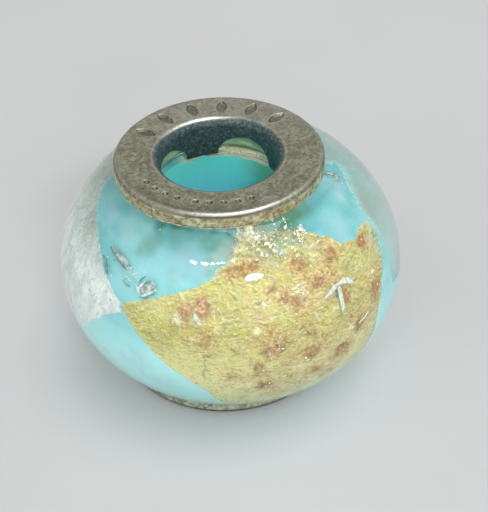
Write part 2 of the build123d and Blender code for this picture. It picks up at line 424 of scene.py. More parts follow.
# Copper from the chips stains the gold round them: turn, height share, reach in mm, strength
stains = (
    (-12.2, 0.383, 0.43, 1.0), (-18.3, 0.337, 0.55, 0.75), (-15.5, 0.365, 0.38, 0.5),
    (-10.4, 0.101, 0.6, 0.6), (-16.9, 0.073, 0.33, 0.6), (-17.8, 0.194, 0.33, 0.5), (8.2, 0.65, 0.5, 0.8),
    (4.6, 0.63, 0.5, 0.8), (0.0, 0.61, 0.43, 0.8), (0.4, 0.711, 0.45, 0.45), (5.5, 0.7, 0.45, 0.45),
    (9.5, 0.7, 0.38, 0.4), (47.0, 0.545, 0.5, 0.85), (44.1, 0.51, 0.4, 0.85), (29.5, 0.6, 0.4, 0.8),
    (29.6, 0.55, 0.38, 0.8), (32.9, 0.579, 0.33, 0.8), (34.6, 0.43, 0.53, 0.9), (31.0, 0.46, 0.45, 0.7),
    (38.5, 0.42, 0.45, 0.9), (43.8, 0.388, 0.33, 0.8), (26.0, 0.33, 0.53, 1.0), (20.9, 0.393, 0.4, 0.75),
    (23.0, 0.36, 0.38, 0.5), (15.6, 0.475, 0.43, 0.6), (13.8, -0.048, 0.55, 0.9), (12.5, 0.12, 0.55, 0.5),
    (16.0, 0.06, 0.5, 0.5), (26.0, 0.06, 0.55, 0.5), (29.0, 0.01, 0.43, 0.5), (43.0, -0.336, 0.55, 0.9),
    (28.1, -0.176, 0.58, 0.75), (24.0, -0.15, 0.45, 0.6), (7.9, -0.206, 0.3, 0.7), (8.3, -0.313, 0.38, 0.7),
    (10.7, -0.487, 0.43, 0.9), (15.1, -0.531, 0.43, 0.5), (32.3, -0.45, 0.45, 0.7),
    (41.3, -0.555, 0.43, 0.6), (36.5, -0.5, 0.38, 0.5), (49.8, -0.148, 0.43, 0.8), (45.1, 0.204, 0.4, 0.75),
    (44.3, 0.27, 0.33, 0.7), (61.1, 0.09, 0.38, 0.9), (61.7, -0.01, 0.38, 0.8), (65.5, 0.455, 0.35, 1.0),
    (67.8, 0.48, 0.3, 0.6), (46.6, -0.037, 0.33, 0.6), (20.8, -0.414, 0.5, 0.4), (-1.7, -0.325, 0.55, 0.5),
    (36.1, -0.14, 0.5, 0.4), (34.0, -0.08, 0.33, 0.5), (21.0, -0.02, 0.38, 0.4), (18.5, -0.22, 0.43, 0.4),
    (28.0, -0.45, 0.45, 0.4), (-14.0, -0.03, 0.38, 0.2),
)
# Pale haze where fine bubbles lie on the gold, and near its top a painted glint, in the same terms
haze_and_glint_spots = (
    (-21.5, 0.245, 0.24, 0.9), (-14.2, 0.285, 0.22, 0.9), (-16.0, 0.1, 0.2, 0.7), (8.1, 0.171, 0.22, 1.0),
    (-6.5, 0.21, 0.34, 0.6), (11.5, 0.8, 0.42, 1.2), (14.0, 0.785, 0.34, 1.0), (8.5, 0.79, 0.34, 1.0),
    (6.8, 0.825, 0.3, 1.2), (9.5, 0.815, 0.34, 1.3), (15.5, 0.81, 0.26, 0.9), (12.0, 0.77, 0.34, 0.8),
    (39.0, 0.74, 0.26, 0.6), (-9.0, 0.43, 0.28, 0.5), (31.5, 0.15, 0.2, 0.6), (62.5, 0.195, 0.16, 1.0),
    (46.0, -0.121, 0.2, 0.9), (26.0, -0.52, 0.5, 0.5), (35.0, -0.6, 0.45, 0.6), (45.0, -0.55, 0.4, 0.6),
    (54.0, -0.45, 0.4, 0.6), (60.0, -0.3, 0.34, 0.6), (28.0, -0.38, 0.34, 0.4), (68.0, 0.44, 0.18, 0.4),
    (20.0, -0.14, 0.3, 0.35), (14.0, -0.76, 0.45, 0.8), (26.0, -0.74, 0.5, 0.9), (38.0, -0.7, 0.5, 1.1),
    (48.0, -0.64, 0.45, 1.1), (0.0, -0.76, 0.3, 0.6), (68.0, 0.05, 0.25, 0.8), (40.6, 0.15, 0.34, 0.6),
    (37.4, -0.02, 0.3, 0.4), (-3.5, 0.19, 0.3, 0.35), (4.5, 0.75, 0.28, 1.2), (8.0, 0.73, 0.25, 0.9),
    (30.0, -0.8, 0.45, 1.3), (18.0, -0.82, 0.4, 1.2), (42.0, -0.76, 0.4, 1.3),
)
# Where the gold is worn so thin that the glass under it shows
thin_spots = (
    (25.1, 0.684, 0.34, 1.3), (23.8, 0.744, 0.3, 1.0), (18.2, 0.69, 0.36, 0.9), (37.3, 0.7, 0.4, 1.2),
    (39.3, 0.655, 0.34, 1.0), (14.1, 0.725, 0.3, 0.9), (10.8, 0.721, 0.26, 0.8), (31.0, 0.74, 0.44, 1.1),
    (28.0, 0.79, 0.5, 1.2), (20.0, 0.8, 0.4, 1.0), (41.4, 0.63, 0.34, 0.9), (48.3, 0.66, 0.34, 0.8),
    (38.8, 0.56, 0.3, 0.7), (3.0, 0.75, 0.26, 0.5), (13.5, 0.64, 0.3, 0.7), (19.5, 0.63, 0.34, 0.8),
    (24.0, 0.6, 0.3, 0.7), (52.0, 0.4, 0.36, 0.5), (49.0, 0.45, 0.36, 0.5), (67.5, 0.3, 0.34, 0.6),
    (-9.0, 0.38, 0.26, 0.6), (-8.8, 0.33, 0.22, 0.5), (-8.5, 0.61, 0.3, 1.3), (-6.5, 0.65, 0.32, 1.4),
    (-2.5, 0.68, 0.32, 1.4), (0.5, 0.72, 0.32, 1.3), (2.5, 0.77, 0.3, 1.2), (72.0, 0.4, 0.3, 1.2),
    (70.5, 0.3, 0.3, 1.1), (69.5, 0.2, 0.3, 0.9), (75.0, 0.46, 0.3, 1.3), (-12.5, 0.55, 0.2, 0.8),
    (74.5, 0.33, 0.28, 1.2), (73.5, 0.25, 0.28, 1.2), (72.0, 0.17, 0.26, 1.0), (1.5, 0.47, 0.34, 0.6),
    (4.5, 0.43, 0.3, 0.5), (-3.5, 0.55, 0.24, 0.4), (17.0, 0.23, 0.3, 0.4), (33.5, 0.19, 0.24, 0.5),
    (13.0, -0.4, 0.3, 0.4), (18.0, -0.36, 0.36, 0.5), (12.0, -0.64, 0.4, 0.6), (2.0, -0.66, 0.34, 0.5),
    (20.8, -0.5, 0.3, 0.4), (44.0, 0.47, 0.26, 0.4), (14.5, 0.55, 0.22, 0.5), (51.0, 0.35, 0.3, 0.3),
)
# Painted shade and painted highlights drawn along the gold's folds: places, width in mm, strength
fold_shade_lines = (
    (((9.6, 0.393), (11.2, 0.399)), 0.1, 1.0), (((0.5, 0.368), (2.4, 0.354)), 0.08, 0.8),
    (((3.2, 0.369), (5.6, 0.38)), 0.07, 0.7), (((5.8, 0.348), (7.8, 0.359)), 0.06, 0.6),
    (((-1.5, 0.014), (-0.2, -0.019), (1.2, -0.043)), 0.07, 0.9),
    (((17.7, 0.03), (20.2, -0.014)), 0.08, 0.8), (((26.1, -0.198), (29.1, -0.236)), 0.07, 0.7),
    (((6.1, 0.101), (7.9, 0.1)), 0.05, 0.6), (((1.1, 0.439), (0.4, 0.461)), 0.1, 0.6),
    (((-11.5, -0.08), (-10.2, -0.061)), 0.1, 0.9), (((-9.9, -0.077), (-8.3, -0.025)), 0.05, 0.6),
    (((-10.6, -0.09), (-11.3, -0.15), (-11.3, -0.212), (-12.3, -0.294), (-11.8, -0.348)), 0.07, 0.75),
    (((-3.4, 0.236), (-3.8, 0.191), (-5.1, 0.145), (-4.3, 0.097), (-3.2, 0.087)), 0.06, 0.6),
    (((-6.8, 0.106), (-6.1, 0.036)), 0.08, 0.55), (((-22.3, 0.45), (-21.0, 0.391)), 0.05, 0.6),
    (((32.2, 0.192), (35.5, 0.169)), 0.06, 0.6), (((31.9, 0.158), (33.7, 0.111), (33.8, 0.059)), 0.06, 0.5),
    (((20.0, 0.619), (20.8, 0.591), (24.3, 0.577)), 0.06, 0.6),
    (((59.2, 0.439), (54.9, 0.421), (50.5, 0.394)), 0.06, 0.8),
    (((49.3, 0.116), (51.3, 0.093), (54.0, 0.074)), 0.05, 0.7),
    (((-28.5, 0.11), (-28.0, 0.02)), 0.05, 0.35),
    (((-16.5, 0.355), (-16.0, 0.32), (-13.0, 0.29)), 0.08, 0.5),
    (((-14.0, 0.42), (-14.9, 0.36)), 0.09, 0.5), (((-9.7, 0.4), (-9.6, 0.34), (-11.5, 0.31)), 0.07, 0.5),
    (((10.0, -0.09), (14.0, -0.1), (17.0, -0.085)), 0.06, 0.7), (((9.3, -0.03), (9.0, -0.07)), 0.1, 0.5),
    (((9.5, -0.25), (11.0, -0.29)), 0.06, 0.5), (((2.0, 0.62), (7.0, 0.6), (11.0, 0.6)), 0.07, 0.5),
    (((-13.0, -0.03), (-18.0, -0.06)), 0.05, 0.4), (((-4.0, -0.2), (-1.0, -0.21)), 0.07, 0.5),
    (((38.0, 0.72), (39.5, 0.7), (40.3, 0.66)), 0.12, 0.6), (((34.0, 0.6), (36.0, 0.59)), 0.08, 0.5),
)
fold_highlight_lines = (
    (((24.4, 0.442), (26.4, 0.439), (28.3, 0.419)), 0.08, 0.9),
    (((25.1, 0.404), (26.3, 0.408), (27.5, 0.416)), 0.07, 0.9),
    (((26.9, 0.365), (28.7, 0.365), (30.6, 0.383)), 0.07, 0.9),
    (((11.0, 0.373), (12.7, 0.383), (14.8, 0.394)), 0.06, 0.8),
    (((12.8, 0.553), (15.4, 0.548), (18.2, 0.532)), 0.05, 0.7),
    (((0.4, 0.698), (3.3, 0.693), (7.2, 0.689), (11.0, 0.678)), 0.06, 0.9),
    (((77.3, 0.477), (71.7, 0.416), (66.5, 0.349), (61.7, 0.276), (58.9, 0.201)), 0.06, 0.6),
    (((62.0, 0.457), (61.4, 0.42), (60.8, 0.373)), 0.05, 1.0),
    (((68.6, 0.433), (65.3, 0.404), (62.2, 0.383)), 0.05, 0.8),
    (((57.5, 0.093), (58.0, 0.024), (60.0, -0.082)), 0.05, 0.7),
    (((-20.6, 0.45), (-19.6, 0.41)), 0.05, 0.7), (((3.8, 0.808), (5.5, 0.818), (7.5, 0.822)), 0.06, 1.0),
    (((11.0, 0.815), (15.0, 0.79)), 0.16, 0.8), (((31.1, 0.174), (32.4, 0.114)), 0.1, 0.5),
    (((-14.7, 0.315), (-13.8, 0.284), (-12.8, 0.244)), 0.12, 0.9),
    (((-28.0, 0.09), (-27.6, 0.05)), 0.05, 0.5), (((8.0, -0.1), (12.0, -0.125), (17.0, -0.11)), 0.05, 0.5),
    (((36.5, -0.36), (38.0, -0.32), (38.5, -0.28)), 0.05, 0.5),
    (((24.0, -0.09), (28.0, -0.1), (32.0, -0.07)), 0.05, 0.4),
)
# The sheets' outlines: turn, height share
gold_corners = (
    (-45.6, 0.231), (-37.7, 0.328), (-28.4, 0.418), (-21.0, 0.481), (-15.2, 0.523), (-9.5, 0.584),
    (-7.7, 0.642), (-3.3, 0.682), (-0.2, 0.731), (1.3, 0.776), (3.8, 0.812), (10.0, 0.836), (19.3, 0.82),
    (26.7, 0.8), (34.3, 0.781), (44.9, 0.716), (52.1, 0.636), (54.9, 0.556), (58.1, 0.54), (63.8, 0.497),
    (67.3, 0.523), (73.2, 0.519), (77.0, 0.487), (76.8, 0.437), (76.2, 0.394), (74.9, 0.328), (73.4, 0.253),
    (71.2, 0.176), (67.6, 0.077), (64.8, -0.047), (62.8, -0.157), (62.4, -0.3), (63.6, -0.44), (65.0, -0.6),
    (57.0, -0.75), (46.0, -0.83), (37.0, -0.86), (28.8, -0.87), (20.3, -0.87), (9.4, -0.86), (1.2, -0.84),
    (-7.0, -0.79), (-10.0, -0.68), (-12.4, -0.545), (-16.3, -0.46), (-19.7, -0.37), (-23.2, -0.3),
    (-28.2, -0.188), (-33.5, -0.059), (-39.0, 0.066), (-43.0, 0.153),
)
silver_left_corners = (
    (-179.9, 0.915), (-166.0, 0.915), (-156.0, 0.83), (-128.0, 0.82), (-112.0, 0.78), (-98.0, 0.66),
    (-88.9, 0.6), (-81.4, 0.575), (-72.9, 0.535), (-65.5, 0.473), (-61.1, 0.422), (-57.3, 0.37),
    (-54.0, 0.336), (-51.1, 0.297), (-48.0, 0.262), (-45.7, 0.236), (-45.9, 0.2), (-44.3, 0.15),
    (-50.0, 0.072), (-54.6, -0.017), (-63.7, -0.215), (-68.2, -0.334), (-80.0, -0.35), (-100.0, -0.29),
    (-120.0, -0.12), (-138.0, 0.2), (-160.0, 0.62),
)
silver_right_corners = (
    (179.9, 0.92), (150.0, 0.92), (128.0, 0.92), (112.0, 0.92), (106.0, 0.8), (101.3, 0.72), (96.4, 0.707),
    (91.2, 0.691), (86.9, 0.665), (83.9, 0.634), (80.0, 0.587), (78.3, 0.545), (77.9, 0.503), (78.2, 0.443),
    (77.6, 0.402), (77.0, 0.341), (76.4, 0.269), (75.8, 0.199), (74.8, 0.1), (74.4, -0.013), (75.6, -0.139),
    (90.0, -0.24), (112.0, -0.14), (132.0, 0.36), (165.0, 0.68),
)
gold_tears = (  # turn, height share, size in mm
    (21.5, 0.705, 0.09), (8.2, 0.734, 0.06), (32.6, 0.7, 0.07), (46.8, 0.675, 0.07),
)
gold_splits = (  # places, width in mm
    (((-10.5, -0.05), (-11.3, -0.15), (-11.8, -0.25)), 0.012),
    (((-3.0, 0.236), (-4.6, 0.173), (-5.3, 0.097)), 0.012),
    (((1.6, 0.548), (2.6, 0.535), (3.4, 0.55)), 0.02),
)


def flat_place(turn, share):
    """A place on the core's flat map: the distance round the waist, and the height."""
    return Vector((math.radians(turn) * core_radius, share * core_half_height, 0))


def torn_outline(corners, roughness, seed):
    """An outline's corners and many points between them on the flat map, moved as the edge is torn."""
    flat = [flat_place(*corner) for corner in corners]
    points = []
    for start, end in zip(flat, flat[1:] + flat[:1]):
        side = Vector((end.y - start.y, start.x - end.x, 0)).normalized()
        steps = max(1, round((end - start).length / (leaf_spacing * 0.8)))
        for step in range(steps):
            place = start.lerp(end, step / steps)
            coarse = noise.noise(place / (0.30 * MM) + Vector((seed, 0, 0)))
            fine = noise.noise(place / (0.09 * MM) + Vector((0, seed, 0)))
            points.append((place + side * roughness * (coarse + 0.6 * fine)).to_2d())
    return points


def inside(points, outline):
    """Which points lie inside an outline."""
    corners = np.array(outline)
    after = np.roll(corners, -1, 0)
    odd = np.zeros(len(points), bool)
    for (x0, y0), (x1, y1) in zip(corners, after):
        if y0 == y1:
            continue
        spans = (points[:, 1] < y0) != (points[:, 1] < y1)
        odd ^= spans & (points[:, 0] < (x1 - x0) * (points[:, 1] - y0) / (y1 - y0) + x0)
    return odd


def nearest(places, marks):
    """How far each place stands from the nearest of some marks."""
    return np.array([np.sqrt(np.min(np.sum((marks - place) ** 2, 1))) for place in places])


def ragged_hole(turn, share, size, seed):
    """A ragged hole in a sheet of leaf, wider than it is high."""
    draw = random.Random(seed)
    corners = 14
    centre = flat_place(turn, share).to_2d()
    spin = Matrix.Rotation(draw.uniform(-0.5, 0.5), 2)
    points = []
    for step in range(corners):
        angle = step * 2 * math.pi / corners
        reach = size * draw.uniform(0.45, 1.0)
        points.append(centre + spin @ Vector((math.cos(angle) * reach, 0.45 * math.sin(angle) * reach)))
    return points


def split_along(route, width, seed):
    """A thin split in a sheet of leaf, which is widest in its middle and wanders about its route."""
    draw = random.Random(seed)
    spots = [flat_place(*corner).to_2d() for corner in route]
    middle = []
    for start, end in zip(spots, spots[1:]):
        middle += [start.lerp(end, step / 4) for step in range(4)]
    middle.append(spots[-1])
    left, right = [], []
    for number, spot in enumerate(middle[1:-1], 1):
        ahead = (middle[number + 1] - middle[number - 1]).normalized()
        side = Vector((-ahead.y, ahead.x))
        half = width * math.sin(math.pi * number / (len(middle) - 1)) ** 0.6 / 2
        spot = spot + side * width * draw.uniform(-0.35, 0.35)
        left.append(spot + side * half)
        right.append(spot - side * half)
    return [middle[0], *left, middle[-1], *right[::-1]]


def leaf_sheet(name, corners, holes, roughness, crease, material, seed, fringe=0.09):
    """A closed thin sheet that follows the core inside its torn outline, and rises and falls in creases.
    Over its fringe, in millimetres, it thins out."""
    outline = torn_outline(corners, roughness, seed)

    def in_sheet(places):
        """Which places lie in the outline and in none of the holes."""
        kept = inside(places, outline)
        for hole in holes:
            kept &= ~inside(places, hole)
        return kept

    low, high = np.min(outline, 0), np.max(outline, 0)
    row_spacing = leaf_spacing * 0.87
    xs, ys = np.meshgrid(np.arange(low[0], high[0], leaf_spacing), np.arange(low[1], high[1], row_spacing))
    xs = xs + (np.arange(len(xs)) % 2)[:, None] * leaf_spacing / 2
    fill = np.stack([xs, ys], -1).reshape(-1, 2)
    fill += np.random.default_rng(seed).uniform(-0.2, 0.2, fill.shape) * leaf_spacing
    fill = fill[in_sheet(fill)]
    loops = [outline, *holes]
    edge_points = np.array([point for loop in loops for point in loop])
    fill = fill[nearest(fill, edge_points) >= 0.6 * leaf_spacing]
    edges, start = [], 0
    for loop in loops:
        edges += [(start + i, start + (i + 1) % len(loop)) for i in range(len(loop))]
        start += len(loop)
    flat = [Vector(p) / MM for p in (*edge_points, *fill)]
    found, _, triangles, *_ = delaunay_2d_cdt(flat, edges, [], 0, 1e-6)
    found = np.array(found) * MM
    triangles = np.array(triangles)
    triangles = triangles[in_sheet(found[triangles].mean(1))]
    used = np.unique(triangles)
    triangles = np.searchsorted(used, triangles)
    found = found[used]
    wrinkle = np.array([noise.noise(Vector((x / (0.9 * MM), y / (0.35 * MM), seed)))
                        + 0.5 * noise.noise(Vector((x / (0.30 * MM), y / (0.14 * MM), seed)))
                        for x, y in found])
    turns, shares = np.degrees(found[:, 0] / core_radius), np.clip(found[:, 1] / core_half_height, -1, 1)
    lift = leaf_lift + crease * wrinkle
    top, _ = on_core(turns, shares, lift)
    under, _ = on_core(turns, shares, lift - leaf_thickness)
    count = len(found)
    sides = {edge for a, b, c in triangles for edge in ((a, b), (b, c), (c, a))}
    rim = [edge for edge in sides if edge[::-1] not in sides]
    faces = [tuple(t) for t in triangles] + [tuple(t[::-1] + count) for t in triangles]
    faces += [(b, a, a + count, b + count) for a, b in sorted(rim)]
    piece = mesh_piece(name, np.vstack([top, under]), faces, [material])
    smooth = [number < 2 * len(triangles) for number in range(len(faces))]
    piece.data.polygons.foreach_set("use_smooth", smooth)
    near = np.exp(-((nearest(found, edge_points[: len(outline)]) / MM / fringe) ** 2))
    write_values(piece, "edge", np.tile(near, 2))
    return piece


def paint_lines(piece, name, lines):
    """Writes how strongly each point lies on drawn lines: places on the core, width in mm, strength."""
    points = vertex_places(piece)
    painted = np.zeros(len(points))
    for places, width, strength in lines:
        corners, _ = on_core(*zip(*places))
        for start, end in zip(corners, corners[1:]):
            ahead = end - start
            share = np.clip((points - start) @ ahead / (ahead @ ahead), 0, 1)
            away = np.linalg.norm(points - start - share[:, None] * ahead, axis=1) / (width / 2 * MM)
            painted = np.maximum(painted, strength * np.exp(-(away**2)))
    write_values(piece, name, painted)


def new_group(name, kind, first, **values):
    """A node group and its inputs: one of its own kind, then numbers, named with low lines for spaces."""
    tree = bpy.data.node_groups.new(name, kind)
    first_name, first_kind = first
    tree.interface.new_socket(first_name, in_out="INPUT", socket_type=first_kind)
    for key, value in values.items():
        number = "NodeSocketInt" if isinstance(value, int) else "NodeSocketFloat"
        socket = tree.interface.new_socket(key.replace("_", " "), in_out="INPUT", socket_type=number)
        socket.default_value = value
    return tree, node(tree, "NodeGroupInput").outputs


def put_out(tree, results):
    """Ends a node group with named outputs."""
    kinds = {"VALUE": "NodeSocketFloat", "VECTOR": "NodeSocketVector", "GEOMETRY": "NodeSocketGeometry"}
    for name, socket in results.items():
        tree.interface.new_socket(name, in_out="OUTPUT", socket_type=kinds[socket.type])
    node(tree, "NodeGroupOutput", results)
    return tree


def crinkle_group():
    """Wrinkles of leaf pressed on hot glass: folds with painted light on one side and painted shade on the
    other, and facets that glint.
    """
    tree, given = new_group("leaf crinkle", "ShaderNodeTree", ("Place", "NodeSocketVector"), Fold_Scale=2.2,
                            Crinkled=0.5)
    half = (0.5, 0.5, 0.5)
    warp = node(tree, "ShaderNodeTexNoise", {"Vector": given["Place"], "Scale": 1.1, "Detail": 3.0})
    warp = vector_of(tree, "SUBTRACT", warp.outputs["Color"], half)
    place = vector_of(tree, "MULTIPLY_ADD", warp, (0.9, 0.9, 0.9), given["Place"])
    above = vector_of(tree, "ADD", place, (0.02, 0.01, 0.07))
    slope = 0.0
    for share, strength in ((1.0, 1.0), (2.1, 0.8)):
        scale = math_of(tree, "MULTIPLY", given["Fold Scale"], share)
        here = noise_of(tree, scale, place=place)
        rise = math_of(tree, "SUBTRACT", noise_of(tree, scale, place=above), here)
        slope = math_of(tree, "MULTIPLY_ADD", rise, strength, slope)
    worked = rising(tree, noise_of(tree, 0.7, place=given["Place"]),
                    math_of(tree, "SUBTRACT", given["Crinkled"], 0.16),
                    math_of(tree, "ADD", given["Crinkled"], 0.08))
    amount = math_of(tree, "MULTIPLY_ADD", worked, 0.75, 0.25)
    height = math_of(tree, "MULTIPLY_ADD", noise_of(tree, 7.0, 4.0, place=place), 0.5,
                     noise_of(tree, given["Fold Scale"], 4.0, place=place))
    facets = node(tree, "ShaderNodeTexVoronoi", {"Vector": place, "Scale": 12.0}).outputs["Color"]
    return put_out(tree, {
        "Painted Fold Shade": math_of(tree, "MULTIPLY", rising(tree, slope, -0.05, -0.20), amount),
        "Painted Fold Light": math_of(tree, "MULTIPLY", rising(tree, slope, 0.05, 0.20), amount),
        "Height": height,
        "Tone": node(tree, "ShaderNodeSeparateColor", {"Color": facets}).outputs[0],
        "Facets": vector_of(tree, "SUBTRACT", facets, half),
    })


leaf_crinkle = crinkle_group()


def indirect(tree):
    """1 for rays that only light other things, so that the material lets them through."""
    path = node(tree, "ShaderNodeLightPath").outputs
    return math_of(tree, "MAXIMUM", path["Is Shadow Ray"], path["Is Diffuse Ray"])


def leaf_material(name, tones, fold_shading, stretch, fold_scale, crinkled, metallic, roughness, relief, glint,
                  frayed=(1.15, 0.55)):
    """Leaf of one metal: its tones, the painted shade and painted light on the sides of its folds, how
    strongly its facets glint, and how it thins out at its edge. Also gives its colour, and a function that
    paints the folds' shade and light over the last colour."""
    material, tree = new_material(name)
    crinkle = node(tree, "ShaderNodeGroup", {"Place": millimetres(tree, stretch), "Fold Scale": fold_scale,
                                             "Crinkled": crinkled}, node_tree=leaf_crinkle).outputs
    tone = math_of(tree, "MULTIPLY_ADD", crinkle["Tone"], 0.14, 0.93)
    shaded = node(tree, "ShaderNodeCombineColor", {0: tone, 1: tone, 2: tone}).outputs[0]
    colour = ramp(tree, noise_of(tree, 0.7, 4.0, 0.3), (0.34, 0.5, 0.66), tones)
    colour = layered(tree, colour, (shaded, 1.0, 1.0), kind="MULTIPLY")
    glinting = vector_of(tree, "MULTIPLY_ADD", crinkle["Facets"], (glint, glint, glint),
                         bumped(tree, crinkle["Height"], relief, 0.02))
    fray = math_of(tree, "MULTIPLY_ADD", noise_of(tree, 6.0, 4.0), -1.0, 0.5)
    fray = math_of(tree, "ADD", fray, attribute(tree, "edge"))
    whole = math_of(tree, "MULTIPLY", rising(tree, fray, *frayed),
                    math_of(tree, "SUBTRACT", 1.0, indirect(tree)))
    rough = math_of(tree, "MULTIPLY_ADD", crinkle["Tone"], 0.2, roughness)
    set_shader(tree, Metallic=metallic, Roughness=rough, Specular_IOR_Level=0.2, Alpha=whole,
               Normal=vector_of(tree, "NORMALIZE", glinting))

    def finish(tinted):
        """Paints the folds' shade and light over the colour and hands it to the shader."""
        dark, light = fold_shading
        tinted = layered(tree, tinted, (dark, crinkle["Painted Fold Shade"], 0.5),
                         (light, crinkle["Painted Fold Light"], 0.55))
        set_shader(tree, Base_Color=tinted)

    return material, tree, colour, finish


gold, gold_tree, gold_colour, finish_gold = leaf_material(
    "gold leaf", gold_tones, gold_fold_shading, stretch=(1.0, 1.0, 1.4), fold_scale=4.2, crinkled=0.41,
    metallic=0.12, roughness=0.5, relief=0.5, glint=0.35)
gold_holes = [ragged_hole(turn, share, size * MM, seed)
              for seed, (turn, share, size) in enumerate(gold_tears)]
gold_holes += [split_along(route, width * MM, seed) for seed, (route, width) in enumerate(gold_splits)]
gold_sheet = leaf_sheet("gold_sheet", gold_corners, gold_holes, 0.014 * MM, 0.008 * MM, gold, 3)
paint(gold_sheet, "copper", stains)
paint(gold_sheet, "haze and glint", haze_and_glint_spots)
paint(gold_sheet, "thin", thin_spots)
gold_edge = gold_sheet.data.attributes["edge"].data
gold_thin = gold_sheet.data.attributes["thin"].data
for near, thinned in zip(gold_edge, gold_thin):
    near.value = max(near.value, min(thinned.value - 0.35, 0.85))
paint_lines(gold_sheet, "fold shade line", fold_shade_lines)
paint_lines(gold_sheet, "fold highlight line", fold_highlight_lines)

grain = noise_of(gold_tree, 5.5, 5.0, 0.6)
motley = noise_of(gold_tree, 2.2, 5.0, 0.6, (0.8, 0.8, 1.2))
patches = noise_of(gold_tree, 2.2, 4.0, 0.8)
froth = noise_of(gold_tree, 4.0, 4.0, 0.5)
worn = math_of(gold_tree, "MULTIPLY_ADD", patches, 1.0, attribute(gold_tree, "thin"))
worn = rising(gold_tree, worn, 0.75, 1.6)
under = ramp(gold_tree, noise_of(gold_tree, 2.6, 4.0, 0.6), (0.34, 0.48, 0.62), under_gold)
washed = math_of(gold_tree, "MULTIPLY", rising(gold_tree, axes_of(gold_tree)[0], -0.8, 1.6),
                 rising(gold_tree, noise_of(gold_tree, 1.3, 5.0, 0.8), 0.40, 0.62))
coppery = math_of(gold_tree, "MULTIPLY_ADD", grain, 0.9, attribute(gold_tree, "copper"))
rust = ramp(gold_tree, noise_of(gold_tree, 6.5, 4.0), (0.36, 0.50, 0.64), rust_tones)
# Near the gold's top the pale haze is a painted glint
haze_and_glint_mask = math_of(gold_tree, "MULTIPLY_ADD", froth, 0.9, attribute(gold_tree, "haze and glint"))
# Towards the bottom the gold is lightened with painted light
gold_colour = layered(gold_tree, gold_colour,
                      (green_gold, rising(gold_tree, motley, 0.50, 0.62), 0.28),
                      (deep_gold, rising(gold_tree, motley, 0.48, 0.36), 0.45),
                      (lit_lower_gold, rising(gold_tree, height_of(gold_tree), 0.6, -1.8), 0.85),
                      (under, worn, 0.8),
                      (orange_wash, washed, 0.55),
                      (rust, rising(gold_tree, coppery, 0.40, 1.20), 0.9),
                      (haze_and_glint, rising(gold_tree, haze_and_glint_mask, 0.75, 1.5), 0.85),
                      (edge_gold, attribute(gold_tree, "edge"), 0.3))
broken = math_of(gold_tree, "MULTIPLY_ADD", grain, 0.8, 0.45)
# Painted shade and painted highlights along the folds
for label, colour in (("fold shade line", (0.11, 0.12, 0.055)), ("fold highlight line", (0.90, 0.90, 0.68))):
    drawn = math_of(gold_tree, "MULTIPLY", attribute(gold_tree, label), broken)
    gold_colour = layered(gold_tree, gold_colour, (colour, drawn, 1.0))
finish_gold(gold_colour)
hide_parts("gold_leaf")

silver_leaf, leaf_tree, leaf_colour, finish_silver = leaf_material(
    "silver leaf", silver_tones, silver_fold_shading, stretch=(1.5, 1.5, 0.8), fold_scale=1.9, crinkled=0.40,
    metallic=0.2, roughness=0.45, relief=1.0, glint=0.35)
patchy = noise_of(leaf_tree, 1.2, 5.0, 0.6, (1.2, 1.2, 0.7))
warm = noise_of(leaf_tree, 0.9, 3.0, 0.5, (1.3, 1.3, 0.6))
ragged = math_of(leaf_tree, "MULTIPLY_ADD", noise_of(leaf_tree, 3.0, 3.0), 1.2, attribute(leaf_tree, "edge"))
# Towards the bottom the silver is lightened with painted light
finish_silver(layered(leaf_tree, leaf_colour,
                      (lit_lower_silver, rising(leaf_tree, height_of(leaf_tree), 2.4, 0.6), 1.0),
                      (grey_silver, rising(leaf_tree, patchy, 0.46, 0.60), 0.4),
                      (warm_silver, rising(leaf_tree, warm, 0.50, 0.72), 0.5),
                      (edge_silver, rising(leaf_tree, ragged, 1.0, 1.6), 0.35),
                      (bore_cream, by_bore(leaf_tree), 1.0)))
sunken_leaf, sunken_tree, sunken_colour, finish_sunken = leaf_material(
    "sunken silver leaf", sunken_tones, sunken_fold_shading, stretch=(1.2, 1.2, 0.7), fold_scale=1.3, crinkled=0.44,
    metallic=0.2, roughness=0.45, relief=0.3, glint=0.12, frayed=(1.3, 0.9))
# Towards the bottom the sunken silver is lightened with painted light
finish_sunken(layered(sunken_tree, sunken_colour,
                      (lit_lower_sunken, rising(sunken_tree, height_of(sunken_tree), 2.4, 0.2), 0.55),
                      (sunken_edge, rising(sunken_tree, attribute(sunken_tree, "edge"), 0.35, 1.0), 0.75),
                      (bore_cream, by_bore(sunken_tree), 1.0)))
silver_sheet_left = leaf_sheet("silver_sheet_left", silver_left_corners, (), 0.03 * MM, 0.014 * MM,
                               silver_leaf, 11)
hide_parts("silver_leaf_left")
silver_sheet_right = leaf_sheet("silver_sheet_right", silver_right_corners, (), 0.02 * MM, 0.006 * MM,
                                sunken_leaf, 17, fringe=0.32)
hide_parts("silver_leaf_right")

# Copper flecks
# Chips of glitter glass, picked up on the hot leaf: amber glass full of tiny copper plates that flash.
# Each chip melts into a flat lump with soft edges, and its plates lie in it at every angle.

